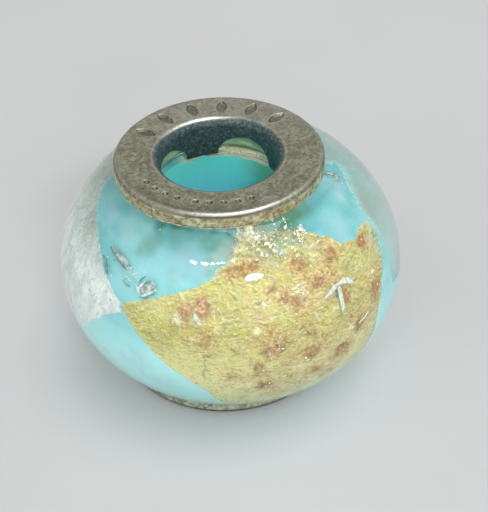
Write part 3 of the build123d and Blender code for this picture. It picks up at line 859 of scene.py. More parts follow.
# Each row: turn, height share, length and width in mm, how thick its colour is
chips = (
    (-12.2, 0.383, 0.66, 0.8, 1.0), (-18.3, 0.337, 0.8, 0.76, 0.35), (-10.4, 0.1, 0.6, 0.8, 0.15),
    (6.1, 0.645, 1.3, 0.44, 0.35), (0.3, 0.62, 0.7, 0.36, 0.3), (46.5, 0.53, 0.6, 1.1, 0.5),
    (29.8, 0.58, 0.6, 0.72, 0.35), (32.9, 0.575, 0.3, 0.48, 0.4), (34.6, 0.43, 0.8, 0.64, 0.4),
    (26.0, 0.335, 0.72, 0.6, 0.4), (20.9, 0.39, 0.52, 0.52, 0.3), (15.6, 0.475, 0.56, 0.5, 0.2),
    (13.8, -0.045, 0.92, 0.54, 0.8), (28.0, 0.03, 0.6, 0.5, 0.3), (43.0, -0.33, 0.86, 0.72, 0.65),
    (28.1, -0.176, 0.84, 0.6, 0.35), (7.9, -0.22, 0.36, 0.66, 0.4), (10.7, -0.485, 0.62, 0.56, 0.55),
    (32.3, -0.45, 0.56, 0.52, 0.3), (50.5, -0.15, 0.52, 0.64, 0.5), (45.1, 0.21, 0.52, 0.8, 0.55),
    (61.2, 0.055, 0.6, 1.1, 0.65), (65.3, 0.453, 0.5, 0.96, 0.75), (38.5, 0.41, 0.5, 0.5, 0.4),
)
chip_lift = 0.07 * MM
chip_thickness = 0.09 * MM
plate_size = 0.045 * MM
plates_per_mm2 = 9.0
full_turn = 6.28
amber_tones = ((0.36, 0.15, 0.05), (0.60, 0.31, 0.12), (0.84, 0.60, 0.36))
copper_tones = ((0.78, 0.42, 0.20), (1.0, 0.92, 0.74))


def bare_points(name, places, **values):
    """Loose points with named values, for a node tree to build on."""
    mesh = bpy.data.meshes.new(name)
    mesh.from_pydata([tuple(p) for p in places], [], [])
    piece = new_piece(name, mesh)
    for key, data in values.items():
        data = np.asarray(data, float)
        if data.ndim == 2:
            mesh.attributes.new(key, "FLOAT_VECTOR", "POINT").data.foreach_set("vector", data.ravel())
        else:
            write_values(piece, key, data)
    return piece


amber, amber_tree = new_material("copper glitter glass")
blotches = math_of(amber_tree, "MULTIPLY_ADD", noise_of(amber_tree, 3.4, 4.0, 0.6), 1.5, 0.25)
blotches = math_of(amber_tree, "SUBTRACT", blotches, attribute(amber_tree, "rim"))
blotches = rising(amber_tree, blotches, 0.0, 0.75)
set_shader(amber_tree, Roughness=0.4, Specular_IOR_Level=0.3,
           Base_Color=ramp(amber_tree, noise_of(amber_tree, 6.5, 5.0, 0.4), (0.34, 0.5, 0.66), amber_tones),
           Alpha=math_of(amber_tree, "MULTIPLY", blotches, attribute(amber_tree, "strength")))

plates, plate_tree = new_material("copper plates")
set_shader(plate_tree, Metallic=1.0, Roughness=0.3,
           Base_Color=ramp(plate_tree, noise_of(plate_tree, 8.0, 1.0), (0.40, 0.58), copper_tones))


def named(tree, name, kind="FLOAT_VECTOR"):
    return node(tree, "GeometryNodeInputNamedAttribute", {"Name": name}, data_type=kind).outputs[0]


def facing_out(tree):
    inputs = {"Vector": named(tree, "way_out")}
    return node(tree, "FunctionNodeAlignRotationToVector", inputs, axis="Z").outputs[0]


def tilted(tree, facing, most, seed):
    """A facing that is tilted by as much as most and spun, as chance has it."""
    inputs = {"Min": (-most, -most, 0.0), "Max": (most, most, full_turn), "Seed": seed}
    tilt = node(tree, "FunctionNodeRandomValue", inputs, data_type="FLOAT_VECTOR").outputs[0]
    inputs = {"Rotation": facing, "Rotate By": tilt}
    return node(tree, "FunctionNodeRotateRotation", inputs, rotation_space="LOCAL").outputs[0]


def scattered(tree, points, shape, facing, size, material):
    """A copy of a shape on every point, made real, in its material."""
    inputs = {"Points": points, "Instance": shape, "Rotation": facing, "Scale": size}
    placed = node(tree, "GeometryNodeInstanceOnPoints", inputs).outputs[0]
    real = node(tree, "GeometryNodeRealizeInstances", {"Geometry": placed}).outputs[0]
    return node(tree, "GeometryNodeSetMaterial", {"Geometry": real, "Material": material}).outputs[0]


def chip_tree():
    """Chips set on their points and melted out of round, with copper plates scattered over them."""
    tree, given = new_group("copper chips", "GeometryNodeTree", ("Geometry", "NodeSocketGeometry"),
                            Melt=0.05 * MM, Plate_Size=plate_size, Plates=plates_per_mm2, Seed=5)
    place = node(tree, "GeometryNodeInputPosition").outputs[0]
    lump = node(tree, "GeometryNodeMeshIcoSphere", {"Radius": 1.0, "Subdivisions": 4}).outputs["Mesh"]
    from_middle = vector_of(tree, "LENGTH", vector_of(tree, "MULTIPLY", place, (1, 1, 0)))
    inputs = {"Geometry": lump, "Name": "rim", "Value": from_middle}
    lump = node(tree, "GeometryNodeStoreNamedAttribute", inputs, data_type="FLOAT", domain="POINT").outputs[0]
    lumps = scattered(tree, given["Geometry"], lump, facing_out(tree), named(tree, "size"), amber)
    push = (0, 0, 0)
    for scale, share in ((2.6, 3.4), (8.0, 1.0)):
        swirl = node(tree, "ShaderNodeTexNoise", {"Vector": place, "Scale": scale / MM, "Detail": 2.0})
        off = vector_of(tree, "SUBTRACT", swirl.outputs["Color"], (0.5, 0.5, 0.5))
        inputs = {0: off, "Scale": math_of(tree, "MULTIPLY", given["Melt"], share)}
        off = node(tree, "ShaderNodeVectorMath", inputs, operation="SCALE").outputs[0]
        push = vector_of(tree, "ADD", push, off)
    melted = node(tree, "GeometryNodeSetPosition", {"Geometry": lumps, "Offset": push}).outputs[0]
    density = math_of(tree, "MULTIPLY", given["Plates"], 1 / MM**2)
    inputs = {"Mesh": melted, "Density": density, "Seed": given["Seed"]}
    spots = node(tree, "GeometryNodeDistributePointsOnFaces", inputs).outputs
    inputs = {"Vertices": 6, "Radius": 1.0, "Depth": 0.35}
    flake = node(tree, "GeometryNodeMeshCylinder", inputs).outputs["Mesh"]
    vary = node(tree, "FunctionNodeRandomValue", {2: 0.5, 3: 1.5, "Seed": given["Seed"]}, data_type="FLOAT")
    size = math_of(tree, "MULTIPLY", vary.outputs[1], math_of(tree, "MULTIPLY", given["Plate Size"], 0.5))
    facing = tilted(tree, spots["Rotation"], 0.9, given["Seed"])
    both = node(tree, "GeometryNodeJoinGeometry")
    tree.links.new(scattered(tree, spots["Points"], flake, facing, size, plates), both.inputs[0])
    tree.links.new(melted, both.inputs[0])
    return put_out(tree, {"Geometry": both.outputs[0]})


def grown(piece, tree, smooth=(), **values):
    """The plain mesh that a node tree makes of a piece, with the faces of the named materials smooth."""
    modifier = piece.modifiers.new("grow", "NODES")
    modifier.node_group = tree
    for item in tree.interface.items_tree:
        if item.in_out == "INPUT" and item.name in values:
            modifier[item.identifier] = values[item.name]
    bpy.context.view_layer.update()
    mesh = bpy.data.meshes.new_from_object(piece.evaluated_get(bpy.context.evaluated_depsgraph_get()))
    piece.modifiers.remove(modifier)
    piece.data = mesh
    smoothed = [mesh.materials[face.material_index] in smooth for face in mesh.polygons]
    mesh.polygons.foreach_set("use_smooth", smoothed)
    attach(piece, "root")


chip_turns, chip_shares, chip_lengths, chip_widths, chip_strengths = zip(*chips)
chip_places, chip_ways = on_core(chip_turns, chip_shares, chip_lift)
chip_sizes = [(length * MM / 2, width * MM / 2, chip_thickness / 2)
              for length, width in zip(chip_lengths, chip_widths)]
copper_chips = bare_points("copper_chips", chip_places, way_out=chip_ways, size=chip_sizes,
                           strength=chip_strengths)
grown(copper_chips, chip_tree(), [amber], Seed=5)
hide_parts("copper_flecks")

# Loose leaf
# Where the gold was rubbed off at its top, crumbs of it float in the glass, at every angle, and flash.
# Smaller crumbs lie all over the sheet, where its wrinkles broke.

# Each heap: turn, height share, reach in mm, number, and size of the largest where it isn't the usual one
crumb_heaps = (
    (10.5, 0.8, 0.3, 26, 3.6), (14.0, 0.79, 0.22, 12, 3.0), (37.6, 0.725, 0.16, 8, 3.0),
    (11.0, 0.795, 0.34, 60), (6.5, 0.805, 0.22, 20), (15.8, 0.772, 0.26, 34), (22.0, 0.725, 0.26, 34),
    (20.0, 0.755, 0.2, 24), (15.0, 0.69, 0.2, 16), (37.6, 0.725, 0.22, 44), (41.5, 0.73, 0.16, 16),
    (31.5, 0.65, 0.3, 20), (24.0, 0.665, 0.26, 18), (28.0, 0.75, 0.3, 20), (34.0, 0.78, 0.26, 14),
    (3.0, 0.76, 0.26, 10), (27.0, 0.42, 0.26, 18), (12.5, 0.38, 0.26, 12), (45.0, 0.64, 0.26, 12),
)
usual_largest = 2.2
scattered_crumbs = 360
crumb_size = 0.05 * MM
crumb_lift = 0.17 * MM
highest_crumb = 0.86
crumb_tones = ((0.98, 0.88, 0.50), (1.0, 0.98, 0.82))

crumbs, crumbs_tree = new_material("bright gold crumbs")
set_shader(crumbs_tree, Metallic=1.0, Roughness=0.48,
           Base_Color=ramp(crumbs_tree, noise_of(crumbs_tree, 7.0, 1.0), (0.42, 0.56), crumb_tones))


def crumb_tree():
    """A thin five-cornered crumb on every point, tilted as chance has it."""
    tree, given = new_group("gold crumbs", "GeometryNodeTree", ("Geometry", "NodeSocketGeometry"),
                            Size=crumb_size, Seed=4)
    inputs = {"Vertices": 5, "Radius": 0.5, "Depth": 0.12}
    crumb = node(tree, "GeometryNodeMeshCylinder", inputs).outputs["Mesh"]
    facing = tilted(tree, facing_out(tree), 0.7, given["Seed"])
    size = math_of(tree, "MULTIPLY", given["Size"], named(tree, "grade", "FLOAT"))
    return put_out(tree, {"Geometry": scattered(tree, given["Geometry"], crumb, facing, size, crumbs)})


crumb_draw = random.Random(8)
gold_flat = [flat_place(*corner).to_2d() for corner in gold_corners]
crumb_spots = []
for turn, share, reach, number, *largest in crumb_heaps:
    middle = flat_place(turn, share)
    for _ in range(number):
        place = middle + Vector((crumb_draw.gauss(0, 0.5), crumb_draw.gauss(0, 0.4), 0)) * reach * MM
        crumb_spots.append((place.x, place.y, crumb_draw.uniform(0.5, *(largest or [usual_largest]))))
heaped = len(crumb_spots)
while len(crumb_spots) < heaped + scattered_crumbs:
    place = flat_place(crumb_draw.gauss(20, 26), crumb_draw.uniform(-0.7, 0.75))
    if inside(np.array([place.to_2d()]), gold_flat)[0]:
        crumb_spots.append((place.x, place.y, crumb_draw.uniform(0.3, 0.75)))
crumb_x, crumb_y, crumb_grades = np.array(crumb_spots).T
crumb_shares = np.clip(crumb_y / core_half_height, -1, highest_crumb)
crumb_places, crumb_ways = on_core(np.degrees(crumb_x / core_radius), crumb_shares, crumb_lift)
gold_crumbs = bare_points("gold_crumbs", crumb_places, way_out=crumb_ways, grade=crumb_grades)
grown(gold_crumbs, crumb_tree(), Seed=4)

# Trapped air
# Air caught between the leaf and the clear glass as it was wound over: a flat sliver and broken bubbles
# beside the silver, a forked streak and short strokes over the gold, and clouds of tiny round seeds. Dark
# strokes beside the bubbles are painted shadows.
air_lift = 0.16 * MM
stroke_corners = 10
white_tones = ((0.46, 0.47, 0.38), (0.76, 0.77, 0.66))
grey_tones = ((0.24, 0.34, 0.32), (0.42, 0.50, 0.50), (0.70, 0.70, 0.63))
painted_rim_shade = (0.10, 0.26, 0.29)
bubble_shadow_tone = (0.10, 0.27, 0.26, 1)

# Flat bubbles: places as turn and height share, widths along them and thickness in mm, how much they wander
sliver_strokes = (
    (((-60.3, 0.562), (-57.9, 0.552), (-54.4, 0.54), (-50.9, 0.525), (-47.9, 0.51), (-44.5, 0.507)), (0.04,
      0.15, 0.23, 0.27, 0.25, 0.04), 0.06, 0.06),
    (((-37.4, 0.395), (-35.8, 0.43), (-34.2, 0.458), (-33.2, 0.485)), (0.2, 0.4, 0.42, 0.2), 0.05, 0.1),
    (((91.6, 0.747), (90.1, 0.743), (88.0, 0.737)), (0.14, 0.27, 0.12), 0.05, 0.2),
)
# Painted shadows of the bubbles, as dark strokes, in the same terms
shadow_strokes = (
    (((-61.0, 0.545), (-57.4, 0.532), (-53.4, 0.515), (-50.0, 0.497), (-47.0, 0.487)), (0.04, 0.09, 0.1,
      0.08, 0.02), 0.03, 0.2),
    (((-61.8, 0.47), (-59.6, 0.45), (-57.2, 0.42), (-54.8, 0.375)), (0.04, 0.16, 0.18, 0.04), 0.03, 0.1),
    (((-47.1, 0.412), (-45.3, 0.395), (-42.6, 0.392)), (0.03, 0.1, 0.03), 0.03, 0.2),
    (((-39.4, 0.44), (-38.9, 0.475), (-37.6, 0.505)), (0.03, 0.09, 0.03), 0.03, 0.2),
    (((-37.4, 0.35), (-35.0, 0.362), (-33.0, 0.39), (-30.8, 0.425)), (0.03, 0.09, 0.08, 0.02), 0.03, 0.2),
    (((-43.8, 0.475), (-42.0, 0.455), (-41.0, 0.43)), (0.03, 0.08, 0.03), 0.03, 0.2),
    (((41.5, 0.315), (41.2, 0.26), (41.6, 0.23)), (0.04, 0.1, 0.03), 0.03, 0.2),
)
white_strokes = (
    (((-38.9, 0.405), (-38.2, 0.438), (-37.0, 0.478)), (0.09, 0.11, 0.05), 0.06, 0.15),
    (((-40.1, 0.418), (-39.2, 0.398), (-38.0, 0.376)), (0.03, 0.09, 0.04), 0.05, 0.2),
    (((-36.9, 0.358), (-35.2, 0.385), (-33.6, 0.408), (-31.4, 0.441)), (0.07, 0.11, 0.08, 0.06), 0.06,
      0.15), (((-35.4, 0.44), (-34.6, 0.465), (-34.0, 0.49)), (0.02, 0.05, 0.02), 0.04, 0.2),
    (((-47.4, 0.435), (-45.9, 0.443), (-43.7, 0.43)), (0.03, 0.07, 0.03), 0.04, 0.3),
    (((-44.2, 0.464), (-43.1, 0.484), (-41.8, 0.503)), (0.03, 0.06, 0.02), 0.04, 0.3),
    (((-58.6, 0.548), (-57.2, 0.542)), (0.05, 0.07), 0.05, 0.2),
    (((-48.9, 0.505), (-46.9, 0.497)), (0.08, 0.06), 0.05, 0.2),
    (((36.0, 0.283), (38.7, 0.301), (41.2, 0.325), (43.7, 0.333)), (0.09, 0.17, 0.18, 0.14), 0.08, 0.2),
    (((43.6, 0.326), (46.0, 0.33), (48.6, 0.306), (50.3, 0.258)), (0.12, 0.24, 0.25, 0.08), 0.08, 0.15),
    (((43.2, 0.315), (42.6, 0.234), (42.5, 0.159), (42.1, 0.082)), (0.14, 0.2, 0.21, 0.14), 0.08, 0.15),
    (((41.7, 0.078), (44.0, 0.056)), (0.07, 0.03), 0.05, 0.2),
    (((54.8, -0.076), (52.2, -0.108), (49.2, -0.117)), (0.04, 0.09, 0.05), 0.05, 0.3),
    (((-14.9, 0.325), (-13.9, 0.288), (-12.8, 0.238)), (0.04, 0.16, 0.03), 0.05, 0.2),
    (((39.0, 0.762), (40.3, 0.753), (40.8, 0.736), (40.3, 0.716)), (0.05, 0.1, 0.1, 0.07), 0.05, 0.2),
    (((3.6, 0.806), (5.5, 0.818), (7.5, 0.822)), (0.08, 0.09, 0.03), 0.04, 0.2),
)
# Seeds: turn, height share, width and height in mm
seeds = (
    (-9.4, 0.424, 0.083, 0.083), (-21.8, 0.249, 0.124, 0.083), (-20.2, 0.238, 0.083, 0.062),
    (-22.7, 0.232, 0.103, 0.062), (-17.3, 0.036, 0.066, 0.066), (4.6, 0.742, 0.083, 0.083),
    (11.3, 0.743, 0.083, 0.083), (19.0, 0.761, 0.2, 0.16), (20.2, 0.727, 0.107, 0.14),
    (20.9, 0.701, 0.107, 0.107), (22.8, 0.707, 0.124, 0.058), (12.1, 0.672, 0.17, 0.13),
    (15.3, 0.681, 0.124, 0.091), (27.7, 0.813, 0.099, 0.091), (35.9, 0.741, 0.17, 0.17),
    (16.0, 0.087, 0.12, 0.14), (23.4, 0.085, 0.149, 0.083), (25.5, 0.063, 0.083, 0.099),
    (16.8, -0.033, 0.165, 0.083), (12.1, -0.06, 0.074, 0.17), (14.6, -0.033, 0.066, 0.066),
    (9.8, -0.24, 0.091, 0.107), (42.8, -0.314, 0.083, 0.083), (44.9, -0.419, 0.066, 0.107),
    (11.6, -0.625, 0.14, 0.066), (24.8, -0.479, 0.083, 0.083), (27.3, -0.505, 0.091, 0.066),
    (22.5, -0.538, 0.124, 0.066), (25.4, -0.558, 0.083, 0.083), (27.1, -0.245, 0.091, 0.074),
    (31.8, -0.17, 0.05, 0.083), (38.8, -0.14, 0.083, 0.083), (46.0, -0.121, 0.132, 0.116),
    (47.5, -0.22, 0.074, 0.066), (47.3, 0.168, 0.091, 0.066), (36.5, 0.283, 0.099, 0.099),
    (57.1, 0.322, 0.091, 0.083), (64.9, 0.464, 0.083, 0.074), (62.2, 0.08, 0.083, 0.099),
    (64.0, -0.099, 0.124, 0.116), (86.5, 0.715, 0.099, 0.083), (87.3, 0.748, 0.124, 0.099),
    (-12.5, 0.821, 0.083, 0.083), (-41.9, 0.77, 0.066, 0.066), (-59.0, 0.478, 0.083, 0.066),
    (-53.1, 0.388, 0.124, 0.066), (35.1, 0.643, 0.083, 0.066), (24.2, 0.547, 0.124, 0.083),
    (19.7, 0.411, 0.066, 0.083), (17.6, 0.537, 0.083, 0.083), (-14.8, 0.438, 0.099, 0.05),
    (-15.8, 0.391, 0.066, 0.05), (11.1, -0.474, 0.058, 0.099), (15.1, 0.759, 0.091, 0.066),
    (11.1, 0.799, 0.066, 0.066), (8.7, 0.774, 0.058, 0.058), (40.1, 0.731, 0.1, 0.1),
    (27.1, 0.728, 0.083, 0.124), (24.2, 0.753, 0.083, 0.066), (23.9, 0.741, 0.091, 0.083),
    (32.8, 0.712, 0.083, 0.107), (36.4, 0.689, 0.083, 0.058),
)
fine_seeds = 100


def stroke(places, widths, thickness, wander, seed):
    """Points and faces of a flat bubble that is drawn out along places on the core, as wide as widths say."""
    draw = random.Random(seed)
    last = len(places) - 1
    steps = 5 * last + 1
    where = np.linspace(0, last, steps)
    turns, shares = (np.interp(where, range(len(places)), column) for column in zip(*places))
    middle, out = on_core(turns, shares, air_lift)
    ahead = np.gradient(middle, axis=0)
    ahead /= np.linalg.norm(ahead, axis=1, keepdims=True)
    side = np.cross(out, ahead)
    width = np.interp(where, np.linspace(0, last, len(widths)), widths) * MM
    width = width * np.array([1 + wander * draw.uniform(-1, 1) for _ in range(steps)])
    depth = np.minimum(thickness * MM, width)
    angles = np.arange(stroke_corners)[:, None] * 2 * math.pi / stroke_corners
    points = []
    for number in range(steps):
        points += list(middle[number] + side[number] * width[number] / 2 * np.cos(angles)
                       + out[number] * depth[number] / 2 * np.sin(angles))
    faces = ring_faces(steps, stroke_corners)[:-stroke_corners]
    faces.append(tuple(range(stroke_corners))[::-1])
    faces.append(tuple(range(len(points) - stroke_corners, len(points))))
    return points, faces


def air_piece(name, strokes, material):
    points, faces = [], []
    for number, (places, widths, thickness, wander) in enumerate(strokes):
        more, sides = stroke(places, widths, thickness, wander, number)
        faces += [tuple(corner + len(points) for corner in face) for face in sides]
        points += more
    piece = mesh_piece(name, points, faces, [material])
    point_outwards(piece)


def seed_tree():
    """A small round bubble on every point, as wide and high as the point says."""
    tree, given = new_group("air seeds", "GeometryNodeTree", ("Geometry", "NodeSocketGeometry"), Size=1.0)
    ball = node(tree, "GeometryNodeMeshIcoSphere", {"Radius": 0.5, "Subdivisions": 2}).outputs["Mesh"]
    inputs = {0: named(tree, "size"), "Scale": given["Size"]}
    size = node(tree, "ShaderNodeVectorMath", inputs, operation="SCALE").outputs[0]
    facing = facing_out(tree)
    return put_out(tree, {"Geometry": scattered(tree, given["Geometry"], ball, facing, size, white_air)})


white_air, white_tree = new_material("bright trapped air")
set_shader(white_tree, Roughness=0.35, Specular_IOR_Level=0.5,
           Base_Color=ramp(white_tree, noise_of(white_tree, 9.0, 3.0), (0.38, 0.55), white_tones))
grey_air, grey_tree = new_material("dull trapped air")
grey_grain = noise_of(grey_tree, 5.0, 4.0)
grey_facing = node(grey_tree, "ShaderNodeLayerWeight", {"Blend": 0.35}).outputs["Facing"]
# The sliver's edges darken with painted shade where they turn from view
set_shader(grey_tree, Roughness=0.25, Metallic=0.2, Alpha=math_of(grey_tree, "MULTIPLY", grey_grain, 1.2),
           Base_Color=layered(grey_tree, ramp(grey_tree, grey_grain, (0.38, 0.5, 0.60), grey_tones),
                              (painted_rim_shade, rising(grey_tree, grey_facing, 0.55, 0.9), 1.0)))
# Painted shadows beside the bubbles
bubble_shadow_paint, bubble_shadow_tree = new_material("painted bubble shadows")
set_shader(bubble_shadow_tree, Roughness=0.3, Base_Color=bubble_shadow_tone, Specular_IOR_Level=0.2,
           Alpha=rising(bubble_shadow_tree, noise_of(bubble_shadow_tree, 3.5, 3.0), 0.25, 0.75))
air_piece("air_sliver", sliver_strokes, grey_air)
air_piece("air_shadows", shadow_strokes, bubble_shadow_paint)
air_piece("air_strokes", white_strokes, white_air)

seed_draw = random.Random(21)
fine = []
while len(fine) < fine_seeds:
    turn, share = seed_draw.gauss(26, 22), seed_draw.gauss(0.05, 0.45)
    if abs(share) < 0.8 and inside(np.array([flat_place(turn, share).to_2d()]), gold_flat)[0]:
        size = seed_draw.uniform(0.022, 0.048)
        fine.append((turn, share, size, size * seed_draw.uniform(0.7, 1.0)))
seed_turns, seed_shares, seed_widths, seed_heights = zip(*seeds, *fine)
seed_places, seed_ways = on_core(seed_turns, seed_shares, air_lift)
seed_sizes = [(width * MM, height * MM, min(width, height, 0.06) * MM)
              for width, height in zip(seed_widths, seed_heights)]
air_seeds = bare_points("air_seeds", seed_places, way_out=seed_ways, size=seed_sizes)
grown(air_seeds, seed_tree(), [white_air], Size=1.0)

# Clear casing
# The last gather of clear glass, rolled round over the core and leaf and fire-polished. It reaches past the
# core to the flat ends that the flanges sit on. It was gathered by hand and hangs a little low on the right.
case_low, case_high = (Vector(corner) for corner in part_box("clear_casing"))
glass_radius = (case_high.x - case_low.x) / 2
glass_end = case_high.z - core_centre.z
glass_round = 5.6 * MM  # half height that the round would have with no flat ends
lean = 0.10 * MM
case_rows = 120
case_rise = (  # how far out from the bore and how high the skin comes up from inside the core, in mm
    (0.50, 2.55), (0.03, 2.9), (0.0, 3.35), (0.0, glass_end / MM - 0.06), (0.02, glass_end / MM - 0.02),
    (0.06, glass_end / MM),
)
clear_tint = (0.96, 1.0, 0.99, 1)
through_tint = (0.95, 0.98, 0.97, 1)


def casing_points():
    """Rings of the casing's closed skin, from inside the core over the outside and back into the core."""
    end_angle = math.asin(glass_end / glass_round)
    flat_end = glass_radius * math.cos(end_angle)
    end = [(glass_bore + out * MM, up * MM, 0.0) for out, up in case_rise]
    end += [(glass_bore + (flat_end - glass_bore) * share, glass_end, share) for share in (0.3, 0.6, 0.85)]
    rings = end + [(glass_radius * math.cos(angle), glass_round * math.sin(angle), 1.0)
                   for angle in end_angle * np.linspace(1, -1, case_rows + 1)]
    rings += [(radius, -up, offset) for radius, up, offset in end[::-1]]
    rows = []
    for radius, up, offset in rings:  # offset is how far a ring follows the core's axis, not the bore's
        slant = math.asin(max(-1, min(1, up / glass_round)))
        hang = -lean * math.sin(2 * slant) * np.clip(np.cos(column_angles), 0, 1) ** 2 * offset
        rows.append(np.stack([core_centre.x * offset + (radius + hang) * np.cos(column_angles),
                              core_centre.y + (radius + hang) * np.sin(column_angles),
                              np.full(ring_columns, core_centre.z + up)], -1))
    return np.array(rows)


clear, clear_tree = new_material("clear glass")
waves = noise_of(clear_tree, 0.5, 1.0)
set_shader(clear_tree, Base_Color=clear_tint, Roughness=0.015, IOR=1.5, Transmission_Weight=1.0,
           Normal=bumped(clear_tree, waves, 0.12, 0.05))
let_through = node(clear_tree, "ShaderNodeBsdfTransparent", {"Color": through_tint}).outputs[0]
glass_itself = clear_tree.nodes["Principled BSDF"].outputs[0]
mixed = node(clear_tree, "ShaderNodeMixShader", {0: indirect(clear_tree), 1: glass_itself, 2: let_through})
clear_tree.links.new(mixed.outputs[0], clear_tree.nodes["Material Output"].inputs["Surface"])

skin = casing_points()
glass_coat = mesh_piece("glass_coat", skin.reshape(-1, 3), ring_faces(len(skin), ring_columns), [clear])
point_outwards(glass_coat)
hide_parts("clear_casing")

# Grommets
# Cast silver flanges with a tube, pressed into each end of the bore and glued. Wear and painted highlights
# keep the rounded edges bright, and tarnish stays in the pits, in the stamped marks and on the side. Inside
# the tube the tarnished silver lies in painted shade, and painted shade and a painted contact shadow darken
# bands at the front and the side where it meets the glass.
flange_low, flange_high = (Vector(corner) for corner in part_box("upper_grommet"))
flange_radius = (flange_high.x - flange_low.x) / 2
flange_thickness = 0.61 * MM
tube_depth = flange_high.z - flange_low.z
tube_radius = bore_radius + tube_wall
collar_end = flange_thickness + 0.15 * MM
outer_edge = 0.22 * MM
inner_edge = 0.35 * MM
under_edge = 0.03 * MM  # the small bevel at the flange's underside
grommet_columns = 640
bore_wall_rows = 14
inner_edge_steps = 16
outer_edge_steps = 9
face_rows = 44
tube_rows = 9
arch_half = math.radians(29)
arch_middle = math.radians(61.5 - 90)
quarter = math.pi / 2  # four arches
mark_depth = 0.085 * MM
mark_ring = 3.375 * MM
mark_slope = 0.05 * MM  # how far in from its edge a mark reaches its depth
petal_length = 0.95 * MM
petal_width = 0.44 * MM
petal_turns = [187.0 + (number - 2.5) * 21.0 for number in range(6)]
dot_radius = 0.13 * MM
dot_turns = (-58.5, -49.0, -39.5, -30.0, -17.0, -7.5, 2.0, 11.5, 21.0)
no_mark = -1.0 * MM

worn_and_highlit_silver = (0.72, 0.71, 0.68)
oxide_and_shadow_black = (0.035, 0.033, 0.025)
shade_tones = ((0.018, 0.044, 0.050), (0.058, 0.100, 0.108))
shade_speck = (0.34, 0.50, 0.50)
paste_tones = ((0.22, 0.38, 0.22), (0.46, 0.62, 0.42))


def mark_room(x, y):
    """How far places on the flange's face lie inside the nearest stamped mark, less than 0 outside it."""
    room = np.full(x.shape, no_mark)
    bow = (petal_length**2 / 4 + petal_width**2 / 4) / petal_width
    for turn in petal_turns:
        turned = math.radians(turn)
        along = x * math.sin(turned) - y * math.cos(turned) - mark_ring
        across = x * math.cos(turned) + y * math.sin(turned)
        room = np.maximum(room, bow - np.hypot(along, np.abs(across) + bow - petal_width / 2))
    for turn in dot_turns:
        turned = math.radians(turn)
        away = np.hypot(x - mark_ring * math.sin(turned), y + mark_ring * math.cos(turned))
        room = np.maximum(room, dot_radius - away)
    return room


def about(turns, middle, spread):
    """1 about a turn, falling off past its spread, in degrees."""
    return np.exp(-((((turns - middle + 180) % 360 - 180) / spread) ** 4))


def peak(step, middle, spread):
    """1 at a step and 0 past its spread."""
    return max(0.0, 1 - abs(step - middle) / spread)


